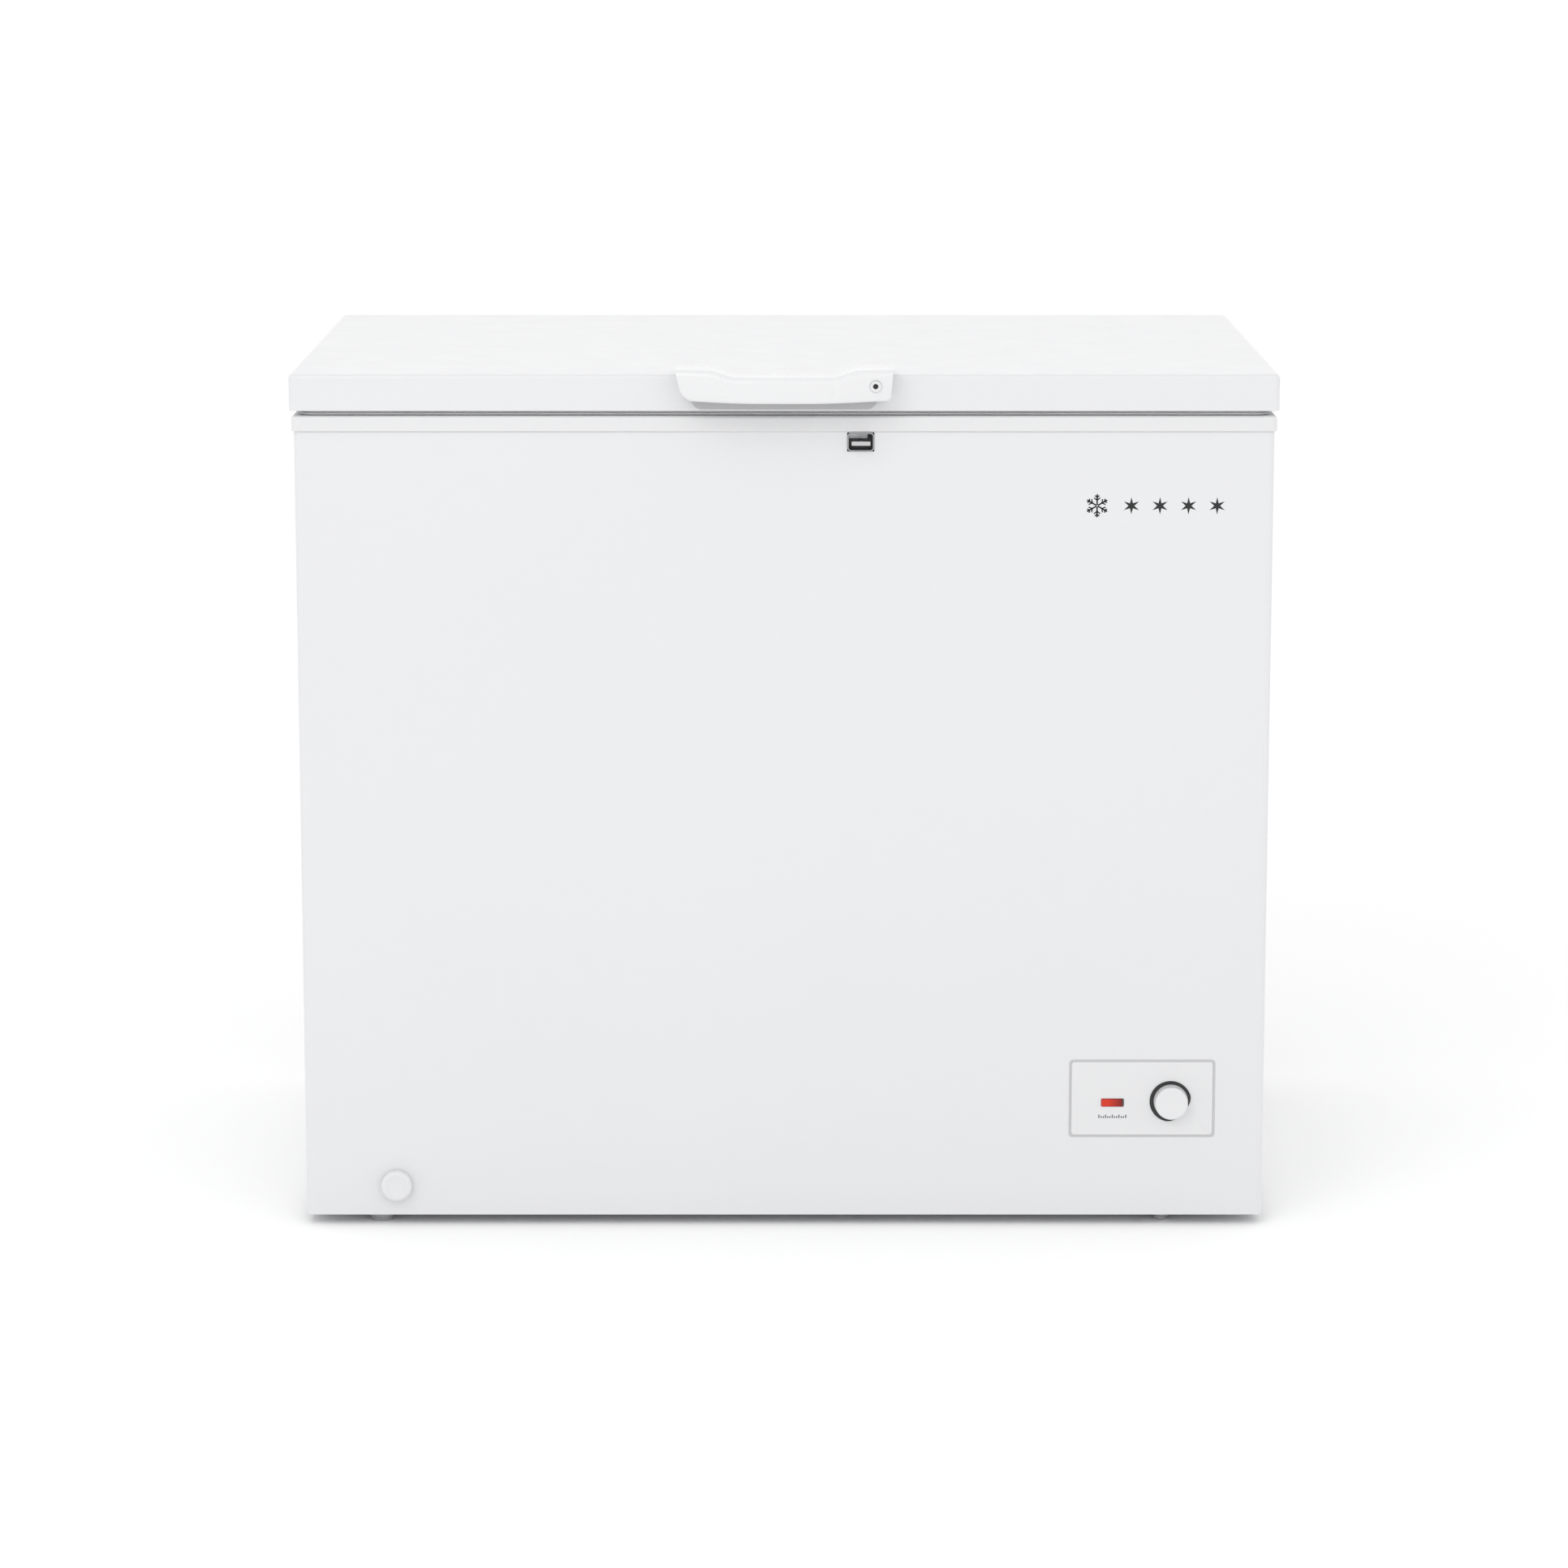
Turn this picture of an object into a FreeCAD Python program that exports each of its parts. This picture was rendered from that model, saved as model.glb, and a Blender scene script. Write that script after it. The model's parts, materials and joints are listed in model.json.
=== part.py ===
import FreeCAD, Part
import os
import Sketcher
from math import cos, pi, sin, tan
from FreeCAD import Placement, Rotation, Vector

# Chest freezer with a hinged lid, a handle with a key lock, a wire basket and a
# corner bay for the compressor.  Millimetres.  X runs to the right as seen from the
# front, Y to the rear, Z up.  The origin is under the middle of the whole object, on
# the floor.  The lid is closed, the knob is at its stop and the lock is open.

# how many of each repeated piece
EVAPORATOR_TURNS = 5
CONDENSER_RUNS = 10
COVER_SLOTS = 11
GRILLE_SLOTS = 7
HANDLE_SCREWS = (-70, -25, 0)
BASKET_BARS = {"ends": (6, 3), "faces": (3, 3), "floor": (4, 7)}

SIZES = (
    # overall
    ("lid_width", 950), ("lid_depth", 600), ("lid_top", 842),
    ("handle_reach", 40), ("hinge_reach", 12),
    # cabinet shell
    ("cabinet_inset", 4), ("skin", 0.8), ("wall", 62), ("floor_wall", 60),
    ("base_thickness", 1.2), ("wrap_corner", 6),
    # bay for the compressor, and the step that it makes in the tub
    ("bay_width", 221), ("bay_height", 250), ("step_wall", 50),
    # tub
    ("liner", 0.6), ("tub_corner", 25), ("tub_floor_corner", 11),
    # collar round the mouth of the tub
    ("collar_height", 16), ("collar_inset", 2), ("collar_wall", 2), ("collar_edge", 3.2),
    ("ledge_width", 12), ("ledge_drop", 8),
    # lid
    ("lid_lip", 35), ("lid_gap", 5), ("lid_corner", 6), ("lid_edge", 3.5),
    ("panel_wall", 1.5), ("plug_drop", 13), ("plug_gap", 14),
    ("gasket_width", 20), ("gasket_setback", 8), ("clearance", 0.3),
    # hinges
    ("hinge_inset", 141), ("pivot_back", 10), ("pivot_drop", 2), ("pin_radius", 3),
    ("pin_clearance", 0.05), ("bracket_thickness", 2), ("bracket_width", 50),
    ("bracket_drop", 62), ("knuckle_radius", 6), ("lug_radius", 5), ("lug_offset", 15.5),
    ("ear_offset", 18), ("ear_foot", 34), ("ear_waist", 4), ("ear_shoulder", 10),
    ("leaf_drop", 4), ("leaf_height", 26), ("lug_root", 18), ("lug_shoulder", 6),
    ("pin_head", 1.5), ("pin_head_length", 2),
    ("bracket_screw_half", 8), ("bracket_screw_low", 8), ("bracket_screw_high", 22),
    ("leaf_screw_half", 21),
    ("spring_wire", 1.6), ("spring_pitch", 2.4), ("spring_turns", 9), ("spring_radius", 4.6),
    # feet
    ("foot_height", 10), ("foot_left_inset", 73), ("foot_left_radius", 13.5),
    ("foot_right_inset", 98), ("foot_right_radius", 9.5), ("foot_taper", 3),
    ("foot_front_setback", 22), ("foot_rear_setback", 40),
    # handle
    ("handle_width", 208), ("handle_drop", 24), ("handle_wall", 3.5), ("handle_bow", 12),
    ("ear_rise", 7), ("ear_depth", 28), ("ear_width", 30), ("ear_slope", 17),
    ("grip_plate_width", 178), ("grip_plate_thickness", 3), ("grip_plate_drop", 33),
    ("grip_plate_corner", 10), ("grip_plate_gap", 1), ("handle_screw_drop", 18),
    # key lock and its catch
    ("lock_inset", 17), ("lock_drop", 8), ("barrel_radius", 5.5), ("barrel_proud", 1),
    ("key_slot_half", 0.7), ("key_slot_rise", 2.5), ("key_slot_depth", 12), ("hub_gap", 1.5),
    ("cam_thickness", 2.5), ("cam_gap", 1.5), ("cam_hub", 5.5), ("cam_width", 8), ("cam_tilt", 7),
    ("cam_tip", 4.5), ("notch_gap", 0.5),
    ("catch_offset", 13.5), ("catch_width", 26), ("catch_height", 18.5), ("catch_depth", 12),
    ("catch_wall", 1.5), ("stud_radius", 2.5),
    ("stud_head_width", 18), ("stud_head_height", 4), ("stud_head_thickness", 2.2),
    # control panel
    ("panel_inset", 119.6), ("panel_z", 128), ("panel_width", 139), ("panel_height", 74),
    ("panel_proud", 1.5), ("panel_thickness", 3), ("panel_corner", 3), ("panel_seam", 1),
    ("panel_box_depth", 42), ("panel_box_wall", 2), ("panel_box_margin", 4),
    ("knob_offset", 28.3), ("knob_drop", 2.5), ("knob_radius", 16.5), ("knob_height", 11),
    ("knob_edge", 1.5), ("knob_gap", 0.5), ("ring_radius", 20), ("ring_thickness", 1.2),
    ("ring_bore", 17.1), ("ring_gap_start", -62), ("ring_gap_end", -20),
    ("shaft_radius", 3), ("shaft_length", 8), ("shaft_hole_gap", 1),
    ("stat_width", 40), ("stat_depth", 27), ("stat_height", 32), ("stat_gap", 1),
    ("lens_offset", 29), ("lens_drop", 4), ("lens_width", 21.5), ("lens_height", 7.2),
    ("lens_proud", 1), ("lamp_width", 14), ("lamp_depth", 21), ("lamp_height", 6),
    # drain
    ("drain_inset", 27.4), ("drain_z", 40.5), ("drain_plug_setback", 30),
    ("drain_tube_radius", 10), ("drain_bore", 7.5), ("drain_cap_radius", 15.5),
    ("drain_cap_height", 9), ("drain_cap_edge", 2.5), ("drain_stem", 7),
    ("drain_stem_length", 12), ("drain_stem_edge", 1), ("drain_channel", 11), ("drain_bend_gap", 2),
    ("plug_rim", 12), ("plug_rim_height", 3), ("plug_neck", 3), ("plug_neck_foot", 4),
    ("plug_neck_height", 9), ("plug_grip", 5), ("plug_height", 14),
    # basket
    ("basket_left", 26), ("basket_length", 230), ("basket_drop", 17), ("basket_depth", 210),
    ("basket_wire", 4), ("basket_gap", 5), ("basket_rail", 5), ("rail_gap", 3),
    # refrigeration
    ("evaporator_radius", 4), ("evaporator_bend", 29), ("evaporator_rise", 70),
    ("evaporator_drop", 86), ("channel", 9), ("riser_inset", 141), ("riser_gap", 70),
    ("condenser_radius", 2.5), ("condenser_bend", 25), ("condenser_pitch", 60),
    ("condenser_rise", 20), ("condenser_drop", 46), ("condenser_inset", 51),
    ("compressor_offset", 118), ("compressor_setback", 180), ("compressor_radius", 76),
    ("compressor_height", 150), ("compressor_wall", 3), ("compressor_slope", 28),
    ("compressor_lip", 4), ("leg_thickness", 3), ("leg_half", 80),
    ("motor_radius", 42), ("stator_radius", 48), ("stator_low", 60), ("stator_high", 110),
    ("grommet_height", 14), ("grommet_radius", 11), ("grommet_bore", 4),
    ("relay_width", 60), ("relay_depth", 29), ("relay_height", 70), ("relay_rise", 30),
    ("relay_gap", 5),
    ("drier_left", 85), ("drier_back", 90), ("drier_rise", 20), ("drier_radius", 10),
    ("drier_neck", 3), ("drier_cone", 12), ("drier_length", 124),
    ("line_radius", 4), ("line_bend", 12), ("line_rise", 30), ("line_setback", 8), ("line_inset", 10),
    # rear cover, side grille and cord gland
    ("cover_margin", 6), ("cover_gap", 1), ("cover_screw_inset", 10), ("cover_screw_end", 20),
    ("louvre_rise", 20), ("slot_half", 60), ("slot_height", 5), ("slot_pitch", 14),
    ("grille_setback", 120), ("grille_z", 120), ("grille_width", 150), ("grille_height", 110),
    ("grille_proud", 1.5),
    ("gland_inset", 35), ("gland_z", 45), ("gland_radius", 9), ("gland_bore", 4),
    ("gland_length", 12), ("gland_seat", 2), ("gland_lip", 2),
    ("screw_head", 4), ("screw_head_height", 2), ("screw_shank", 1.8),
)

PLACES = (
    ("lid_front", "size.handle_reach - (size.lid_depth + size.handle_reach + size.hinge_reach) / 2"),
    ("lid_rear", "place.lid_front + size.lid_depth"),
    ("lid_side", "size.lid_width / 2"),
    ("lid_base", "size.lid_top - size.lid_lip"),
    ("collar_top", "place.lid_base - size.lid_gap"),
    ("collar_base", "place.collar_top - size.collar_height"),
    ("ledge", "place.collar_top - size.ledge_drop"),
    ("side", "place.lid_side - size.cabinet_inset"),
    ("far", "place.side + size.lid_top + size.lid_depth"),
    ("front", "place.lid_front + size.cabinet_inset"),
    ("rear", "place.lid_rear - size.cabinet_inset"),
    ("side_in", "place.side - size.skin"),
    ("front_in", "place.front + size.skin"),
    ("rear_in", "place.rear - size.skin"),
    ("plate_top", "size.foot_height + size.base_thickness"),
    ("tub_side", "place.side - size.wall"),
    ("tub_front", "place.front + size.wall"),
    ("tub_rear", "place.rear - size.wall"),
    ("tub_floor", "size.foot_height + size.floor_wall"),
    ("bay_left", "place.side - size.bay_width"),
    ("bay_top", "size.foot_height + size.bay_height"),
    ("step_left", "place.bay_left - size.step_wall"),
    ("step_top", "place.bay_top + size.step_wall"),
    ("mouth_side", "place.tub_side - size.liner"),
    ("mouth_front", "place.tub_front + size.liner"),
    ("mouth_rear", "place.tub_rear - size.liner"),
    ("hinge_x", "place.side - size.hinge_inset"),
    ("pivot_y", "place.rear + size.pivot_back"),
    ("pivot_z", "place.collar_top - size.pivot_drop"),
    ("plug_base", "place.lid_base - size.plug_drop"),
    ("lock_x", "size.handle_width / 2 - size.lock_inset"),
    ("lock_z", "size.lid_top - size.lock_drop"),
    ("catch_x", "place.lock_x - size.catch_offset"),
    ("catch_z", "place.collar_base - size.catch_height / 2"),
    ("cam_reach", "sqrt(size.catch_offset^2 + (place.lock_z - place.catch_z)^2)"),
    ("cam_back", "place.lid_front - size.grip_plate_thickness - size.cam_gap"),
    ("cam_front", "place.cam_back - size.cam_thickness"),
    ("panel_face", "place.front - size.panel_proud"),
    ("panel_x", "place.side - size.panel_inset"),
    ("knob_x", "place.panel_x + size.knob_offset"),
    ("knob_z", "size.panel_z - size.knob_drop"),
    ("lens_x", "place.panel_x - size.lens_offset"),
    ("lens_z", "size.panel_z - size.lens_drop"),
    ("handle_front", "place.lid_front - size.handle_reach"),
    ("bow_radius", "(size.handle_width^2 / 4 + size.handle_bow^2) / (2 * size.handle_bow)"),
    ("lock_face", "place.handle_front + place.bow_radius"
                  " - sqrt(place.bow_radius^2 - place.lock_x^2)"),
    ("drain_x", "size.drain_inset - place.tub_side"),
    ("drain_y", "place.tub_front + size.drain_plug_setback"),
    ("basket_x0", "-place.mouth_side + size.basket_left"),
    ("basket_x1", "place.basket_x0 + size.basket_length"),
    ("basket_y0", "place.mouth_front + size.basket_gap"),
    ("basket_y1", "place.mouth_rear - size.basket_gap"),
    ("basket_z1", "place.collar_top - size.basket_drop"),
    ("basket_z0", "place.basket_z1 - size.basket_depth"),
    ("evaporator_first", "place.step_top + size.evaporator_rise"),
    ("evaporator_pitch", "(place.collar_base - size.evaporator_drop - place.evaporator_first)"
                         f" / {EVAPORATOR_TURNS - 1}"),
    ("riser_left", "size.riser_inset - place.side"),
    ("riser_right", "place.riser_left + size.riser_gap"),
    ("condenser_left", "size.condenser_inset - place.side"),
    ("condenser_low", "place.step_top + size.condenser_rise"),
    ("condenser_high", "place.collar_base - size.condenser_drop"),
    ("compressor_x", "place.bay_left + size.compressor_offset"),
    ("compressor_y", "place.rear - size.compressor_setback"),
    ("gland_x", "place.bay_left + size.gland_inset"),
    ("grille_y", "place.rear - size.grille_setback"),
)

doc = FreeCAD.newDocument("chest_freezer")
sheet = doc.addObject("Spreadsheet::Sheet", "size")
place = doc.addObject("App::VarSet", "place")
nodes = {}


def fill_sheet():
    """Write the driving sizes into the sheet and bind the derived places to them."""
    for row, (alias, value) in enumerate(SIZES, 1):
        sheet.set(f"A{row}", alias)
        sheet.set(f"B{row}", str(value))
        sheet.setAlias(f"B{row}", alias)
    doc.recompute()
    for alias, expression in PLACES:
        place.addProperty("App::PropertyFloat", alias)
        place.setExpression(alias, expression.replace("place.", ""))
    doc.recompute()


def node(label, piece):
    """Name a finished sub-part: its label is the name of its file."""
    piece.Label = label
    nodes[label] = piece
    return piece


# ---- solids between bound faces -------------------------------------------------

TURNS = {
    "up": Rotation(),
    "down": Rotation(Vector(1, 0, 0), 180),
    "front": Rotation(Vector(1, 0, 0), 90),
    "back": Rotation(Vector(1, 0, 0), -90),
    "right": Rotation(Vector(0, 1, 0), 90),
    "left": Rotation(Vector(0, 1, 0), -90),
}


def put(piece, x, y, z, turn="up"):
    """Place a piece at a bound point, turned so that its own Z points that way."""
    piece.Placement = Placement(Vector(), TURNS[turn])
    for axis, value in zip("xyz", (x, y, z)):
        piece.setExpression(f"Placement.Base.{axis}", f"{value}")
    return piece


def box(name, x, y, z):
    """A block between three pairs of faces."""
    block = doc.addObject("Part::Box", name)
    for side, (low, high) in zip(("Length", "Width", "Height"), (x, y, z)):
        block.setExpression(side, f"({high}) - ({low})")
    return put(block, x[0], y[0], z[0])


def rod(name, x, y, z, turn, length, radius):
    """A cylinder that starts at a point and runs the way it is turned."""
    cylinder = doc.addObject("Part::Cylinder", name)
    cylinder.setExpression("Height", f"{length}")
    cylinder.setExpression("Radius", f"{radius}")
    return put(cylinder, x, y, z, turn)


def fuse(name, pieces):
    joined = doc.addObject("Part::MultiFuse", name)
    joined.Shapes = pieces
    return joined


def cut(name, base, tools):
    less = doc.addObject("Part::Cut", name)
    less.Base = base
    less.Tool = tools[0] if len(tools) == 1 else fuse(name + "_tools", tools)
    return less


def common(name, first, second):
    shared = doc.addObject("Part::Common", name)
    shared.Base = first
    shared.Tool = second
    return shared


def group(name, pieces):
    """Several separate solids in one node."""
    several = doc.addObject("Part::Compound", name)
    several.Links = pieces
    return several


# ---- bodies drawn as bound sketches ---------------------------------------------

PLANE_START = 100.0


def rect(u0, u1, v0, v1):
    """The four corners of a rectangle."""
    return [(u0, v0), (u1, v0), (u1, v1), (u0, v1)]


def draw(body, role, offset, loops):
    """Draw closed outlines on one of the body's own planes, every corner bound."""
    drawing = body.newObject("Sketcher::SketchObject", body.Name + "_sketch")
    plane = [item for item in body.Origin.OriginFeatures if item.Role == role + "_Plane"][0]
    drawing.AttachmentSupport = (plane, [""])
    drawing.MapMode = "FlatFace"
    drawing.setExpression("AttachmentOffset.Base.z", offset)
    for loop in loops:
        if loop[0] == "circle":
            draw_circle(drawing, *loop[1:])
        else:
            draw_polygon(drawing, loop)
    return drawing


def bind(drawing, kind, *what, to):
    """Add one dimension to a sketch and bind it."""
    index = drawing.addConstraint(Sketcher.Constraint(kind, *what))
    name = f"c{index}"
    drawing.renameConstraint(index, name)
    drawing.setExpression(f"Constraints.{name}", f"{to}")


def draw_circle(drawing, u, v, radius):
    centre = Vector(PLANE_START, PLANE_START, 0)
    index = drawing.addGeometry(Part.Circle(centre, Vector(0, 0, 1), 1), False)
    bind(drawing, "Radius", index, 1.0, to=radius)
    bind(drawing, "DistanceX", -1, 1, index, 3, PLANE_START, to=u)
    bind(drawing, "DistanceY", -1, 1, index, 3, PLANE_START, to=v)


def draw_polygon(drawing, corners):
    count = len(corners)
    first = drawing.GeometryCount
    around = [2 * pi * step / count for step in range(count)]
    starts = [Vector(cos(angle), sin(angle), 0) * PLANE_START for angle in around]
    for step in range(count):
        drawing.addGeometry(Part.LineSegment(starts[step], starts[(step + 1) % count]), False)
    for step in range(count):
        following = first + (step + 1) % count
        drawing.addConstraint(Sketcher.Constraint("Coincident", first + step, 2, following, 1))
    for step, (u, v) in enumerate(corners):
        bind(drawing, "DistanceX", -1, 1, first + step, 1, starts[step].x, to=u)
        bind(drawing, "DistanceY", -1, 1, first + step, 1, starts[step].y, to=v)


def start_of(role, low, high):
    """Offset of a sketch whose feature runs along its plane's own normal."""
    return f"-({high})" if role == "XZ" else f"{low}"


def pad(body, role, loops, low, high):
    """Add material between two places along the row axis that the plane faces."""
    drawing = draw(body, role, start_of(role, low, high), loops)
    feature = body.newObject("PartDesign::Pad", body.Name + "_pad")
    feature.Profile = drawing
    feature.setExpression("Length", f"({high}) - ({low})")
    doc.recompute()
    return body


def pocket(body, role, loops, low, high):
    """Take material away between two places, and check that some went."""
    before = body.Shape.Volume
    drawing = draw(body, role, start_of(role, low, high), loops)
    feature = body.newObject("PartDesign::Pocket", body.Name + "_pocket")
    feature.Profile = drawing
    feature.Reversed = True
    feature.setExpression("Length", f"({high}) - ({low})")
    doc.recompute()
    if body.Shape.Volume >= before:
        raise RuntimeError(body.Name + ": a pocket cuts nothing")
    return body


def prism(name, role, loops, low, high):
    body = doc.addObject("PartDesign::Body", name)
    return pad(body, role, loops, low, high)


def turned(name, centre, turn, profile):
    """A body of revolution: the profile gives radius and distance along its axis."""
    body = doc.addObject("PartDesign::Body", name)
    drawing = draw(body, "XZ", "0", [profile])
    feature = body.newObject("PartDesign::Revolution", name + "_turn")
    feature.Profile = drawing
    axis = [item for item in body.Origin.OriginFeatures if item.Role == "Z_Axis"][0]
    feature.ReferenceAxis = (axis, [""])
    put(body, *centre, turn)
    doc.recompute()
    return body


def along(axis):
    """Pick the straight edges that run along one axis."""
    def picked(edge):
        ends = [vertex.Point for vertex in edge.Vertexes]
        if len(ends) < 2:
            return False
        run = ends[1] - ends[0]
        return run.Length > 0 and abs(abs(run.normalize().dot(axis)) - 1) < 1e-6
    return picked


def at_height(height):
    """Pick the edges that lie at one height."""
    def picked(edge):
        return all(abs(vertex.Point.z - height) < 1e-4 for vertex in edge.Vertexes)
    return picked


def within(low, high, picked):
    """Keep only the picked edges whose middle lies between two corners."""
    def kept(edge):
        middle = edge.CenterOfMass
        inside = all(a <= b <= c for a, b, c in zip(low, middle, high))
        return inside and picked(edge)
    return kept


def fillet(body, radius, picked):
    """Round the picked edges of a body."""
    tip = body.Tip
    edges = [f"Edge{i}" for i, edge in enumerate(tip.Shape.Edges, 1) if picked(edge)]
    if not edges:
        raise RuntimeError(body.Name + ": no edge to round")
    feature = body.newObject("PartDesign::Fillet", body.Name + "_round")
    feature.Base = (tip, edges)
    feature.setExpression("Radius", f"{radius}")
    doc.recompute()
    return body


def hollow(body, wall, normal):
    """Leave only a wall inside the body, open on the faces that look one way."""
    tip = body.Tip
    faces = []
    for index, face in enumerate(tip.Shape.Faces, 1):
        if face.Surface.TypeId == "Part::GeomPlane" and face.normalAt(0, 0).dot(normal) > 0.999:
            faces.append(f"Face{index}")
    feature = body.newObject("PartDesign::Thickness", body.Name + "_wall")
    feature.Base = (tip, faces)
    feature.setExpression("Value", f"{wall}")
    feature.Reversed = True
    doc.recompute()
    return body


def tube(name, points, radius, bend, bore=0):
    """A bent tube: straight runs joined by arcs that touch both runs."""
    edges = []
    last = points[0]
    for before, corner, after in zip(points, points[1:], points[2:]):
        back = (before - corner).normalize()
        ahead = (after - corner).normalize()
        half_turn = (pi - back.getAngle(ahead)) / 2
        reach = bend * tan(half_turn)
        start = corner + back * reach
        end = corner + ahead * reach
        middle = corner + (back + ahead).normalize() * (bend / cos(half_turn) - bend)
        edges.append(Part.makeLine(last, start))
        edges.append(Part.Arc(start, middle, end).toShape())
        last = end
    edges.append(Part.makeLine(last, points[-1]))
    path = Part.Wire(edges)
    shape = swept(path, points, radius)
    if bore:
        shape = shape.cut(swept(path, points, bore))
    piece = doc.addObject("Part::Feature", name)
    piece.Shape = shape
    return piece


def swept(path, points, radius):
    ring = Part.Circle(points[0], points[1] - points[0], radius).toShape()
    return path.makePipeShell([Part.Wire([ring])], True, False)


# ---- cabinet ----------------------------------------------------------------------

def cabinet_shell():
    """Bent front and sides, back panel and the two bottom plates."""
    bottom, top = "size.foot_height", "place.collar_base"
    outline = [
        ("-place.side", "place.rear"), ("-place.side", "place.front"),
        ("place.side", "place.front"), ("place.side", "place.rear"),
        ("place.side_in", "place.rear"), ("place.side_in", "place.front_in"),
        ("-place.side_in", "place.front_in"), ("-place.side_in", "place.rear"),
    ]
    wrap = prism("outer_wrap", "XY", [outline], bottom, top)
    upright = along(Vector(0, 0, 1))
    far = place.far
    outer = within((-far, place.front - 0.1, -far), (far, place.front + 0.1, far), upright)
    fillet(wrap, "size.wrap_corner", outer)
    fillet(wrap, "size.wrap_corner - size.skin", front_corners())
    seam = "size.panel_seam"
    front_holes = [
        rect(f"place.panel_x - size.panel_width / 2 - {seam}",
             f"place.panel_x + size.panel_width / 2 + {seam}",
             f"size.panel_z - size.panel_height / 2 - {seam}",
             f"size.panel_z + size.panel_height / 2 + {seam}"),
        ("circle", "place.drain_x", "size.drain_z", "size.drain_tube_radius"),
    ]
    pocket(wrap, "XZ", front_holes, "place.front - 1", "place.front_in + 1")
    catch_hole = rect("place.catch_x - size.catch_width / 2", "place.catch_x + size.catch_width / 2",
                      "place.collar_base - size.catch_height", "place.collar_base + 1")
    pocket(wrap, "XZ", [catch_hole], "place.front - 1", "place.front_in + 1")
    side_hole = rect("place.grille_y - size.grille_width / 2", "place.grille_y + size.grille_width / 2",
                     "size.grille_z - size.grille_height / 2",
                     "size.grille_z + size.grille_height / 2")
    pocket(wrap, "YZ", [side_hole], "place.side_in - 1", "place.side + 1")
    node("outer_wrap", wrap)

    back = prism("back_panel", "XZ", [[
        ("-place.side_in", bottom), ("place.bay_left + size.cover_margin", bottom),
        ("place.bay_left + size.cover_margin", "place.bay_top - size.cover_margin"),
        ("place.side_in", "place.bay_top - size.cover_margin"), ("place.side_in", top),
        ("-place.side_in", top),
    ]], "place.rear_in", "place.rear")
    node("back_panel", back)
    for label, left, right in (("base_plate", "-place.side_in", "place.bay_left"),
                               ("compressor_plate", "place.bay_left", "place.side_in")):
        plate = prism(label, "XY", [rect(left, right, "place.front_in", "place.rear_in")],
                      bottom, "place.plate_top")
        node(label, fillet(plate, "size.wrap_corner - size.skin", front_corners()))


def front_corners():
    """Pick the upright edges at the two front corners of the cabinet, inside its skin."""
    far = place.far
    corner = place.side_in - 0.1
    upright = along(Vector(0, 0, 1))
    right = within((corner, place.front_in - 0.1, 0), (far, place.front_in + 0.1, far), upright)
    left = within((-far, place.front_in - 0.1, 0), (-corner, place.front_in + 0.1, far), upright)
    return lambda edge: right(edge) or left(edge)


def coil_channels():
    """Room in the foam for the evaporator tube and its risers."""
    reach = "size.channel"
    slots = []
    for level in range(EVAPORATOR_TURNS):
        middle = f"place.evaporator_first + {level} * place.evaporator_pitch"
        slots.append(box(f"coil_slot_{level}",
                         (f"-place.tub_side - {reach}", f"place.tub_side + {reach}"),
                         (f"place.tub_front - {reach}", f"place.tub_rear + {reach}"),
                         (f"{middle} - {reach} / 2", f"{middle} + {reach} / 2")))
    bend = "size.evaporator_bend"
    slots.append(box("riser_slot", (f"place.riser_left - {bend} - {reach} / 2",
                                    f"place.riser_right + {bend} + {reach} / 2"),
                     ("place.tub_rear - 1", f"place.tub_rear + {reach}"),
                     ("place.evaporator_first", "place.evaporator_first"
                      f" + {EVAPORATOR_TURNS - 1} * place.evaporator_pitch")))
    return fuse("coil_channels", slots)


def condenser_channels():
    """Room in the rear foam for the condenser tube."""
    reach = "2 * size.condenser_radius + 2 * size.clearance"
    rear = (f"place.rear_in - ({reach})", "place.rear_in + 1")
    slots = []
    for run in range(CONDENSER_RUNS):
        middle = f"place.condenser_left + {run} * size.condenser_pitch"
        slots.append(box(f"condenser_slot_{run}",
                         (f"{middle} - size.condenser_radius - size.clearance",
                          f"{middle} + size.condenser_radius + size.clearance"),
                         rear, ("place.condenser_low", "place.condenser_high")))
    across = ("place.condenser_left - size.condenser_radius - size.clearance",
              f"place.condenser_left + {CONDENSER_RUNS - 1} * size.condenser_pitch"
              " + size.condenser_radius + size.clearance")
    edge = "size.condenser_radius + size.clearance"
    for name, low, high in (
        ("condenser_foot", f"place.condenser_low - ({edge})",
         "place.condenser_low + size.condenser_bend"),
        ("condenser_head", "place.condenser_high - size.condenser_bend",
         f"place.condenser_high + {edge}"),
    ):
        slots.append(box(name, across, rear, (low, high)))
    return fuse("condenser_channels", slots)


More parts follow.
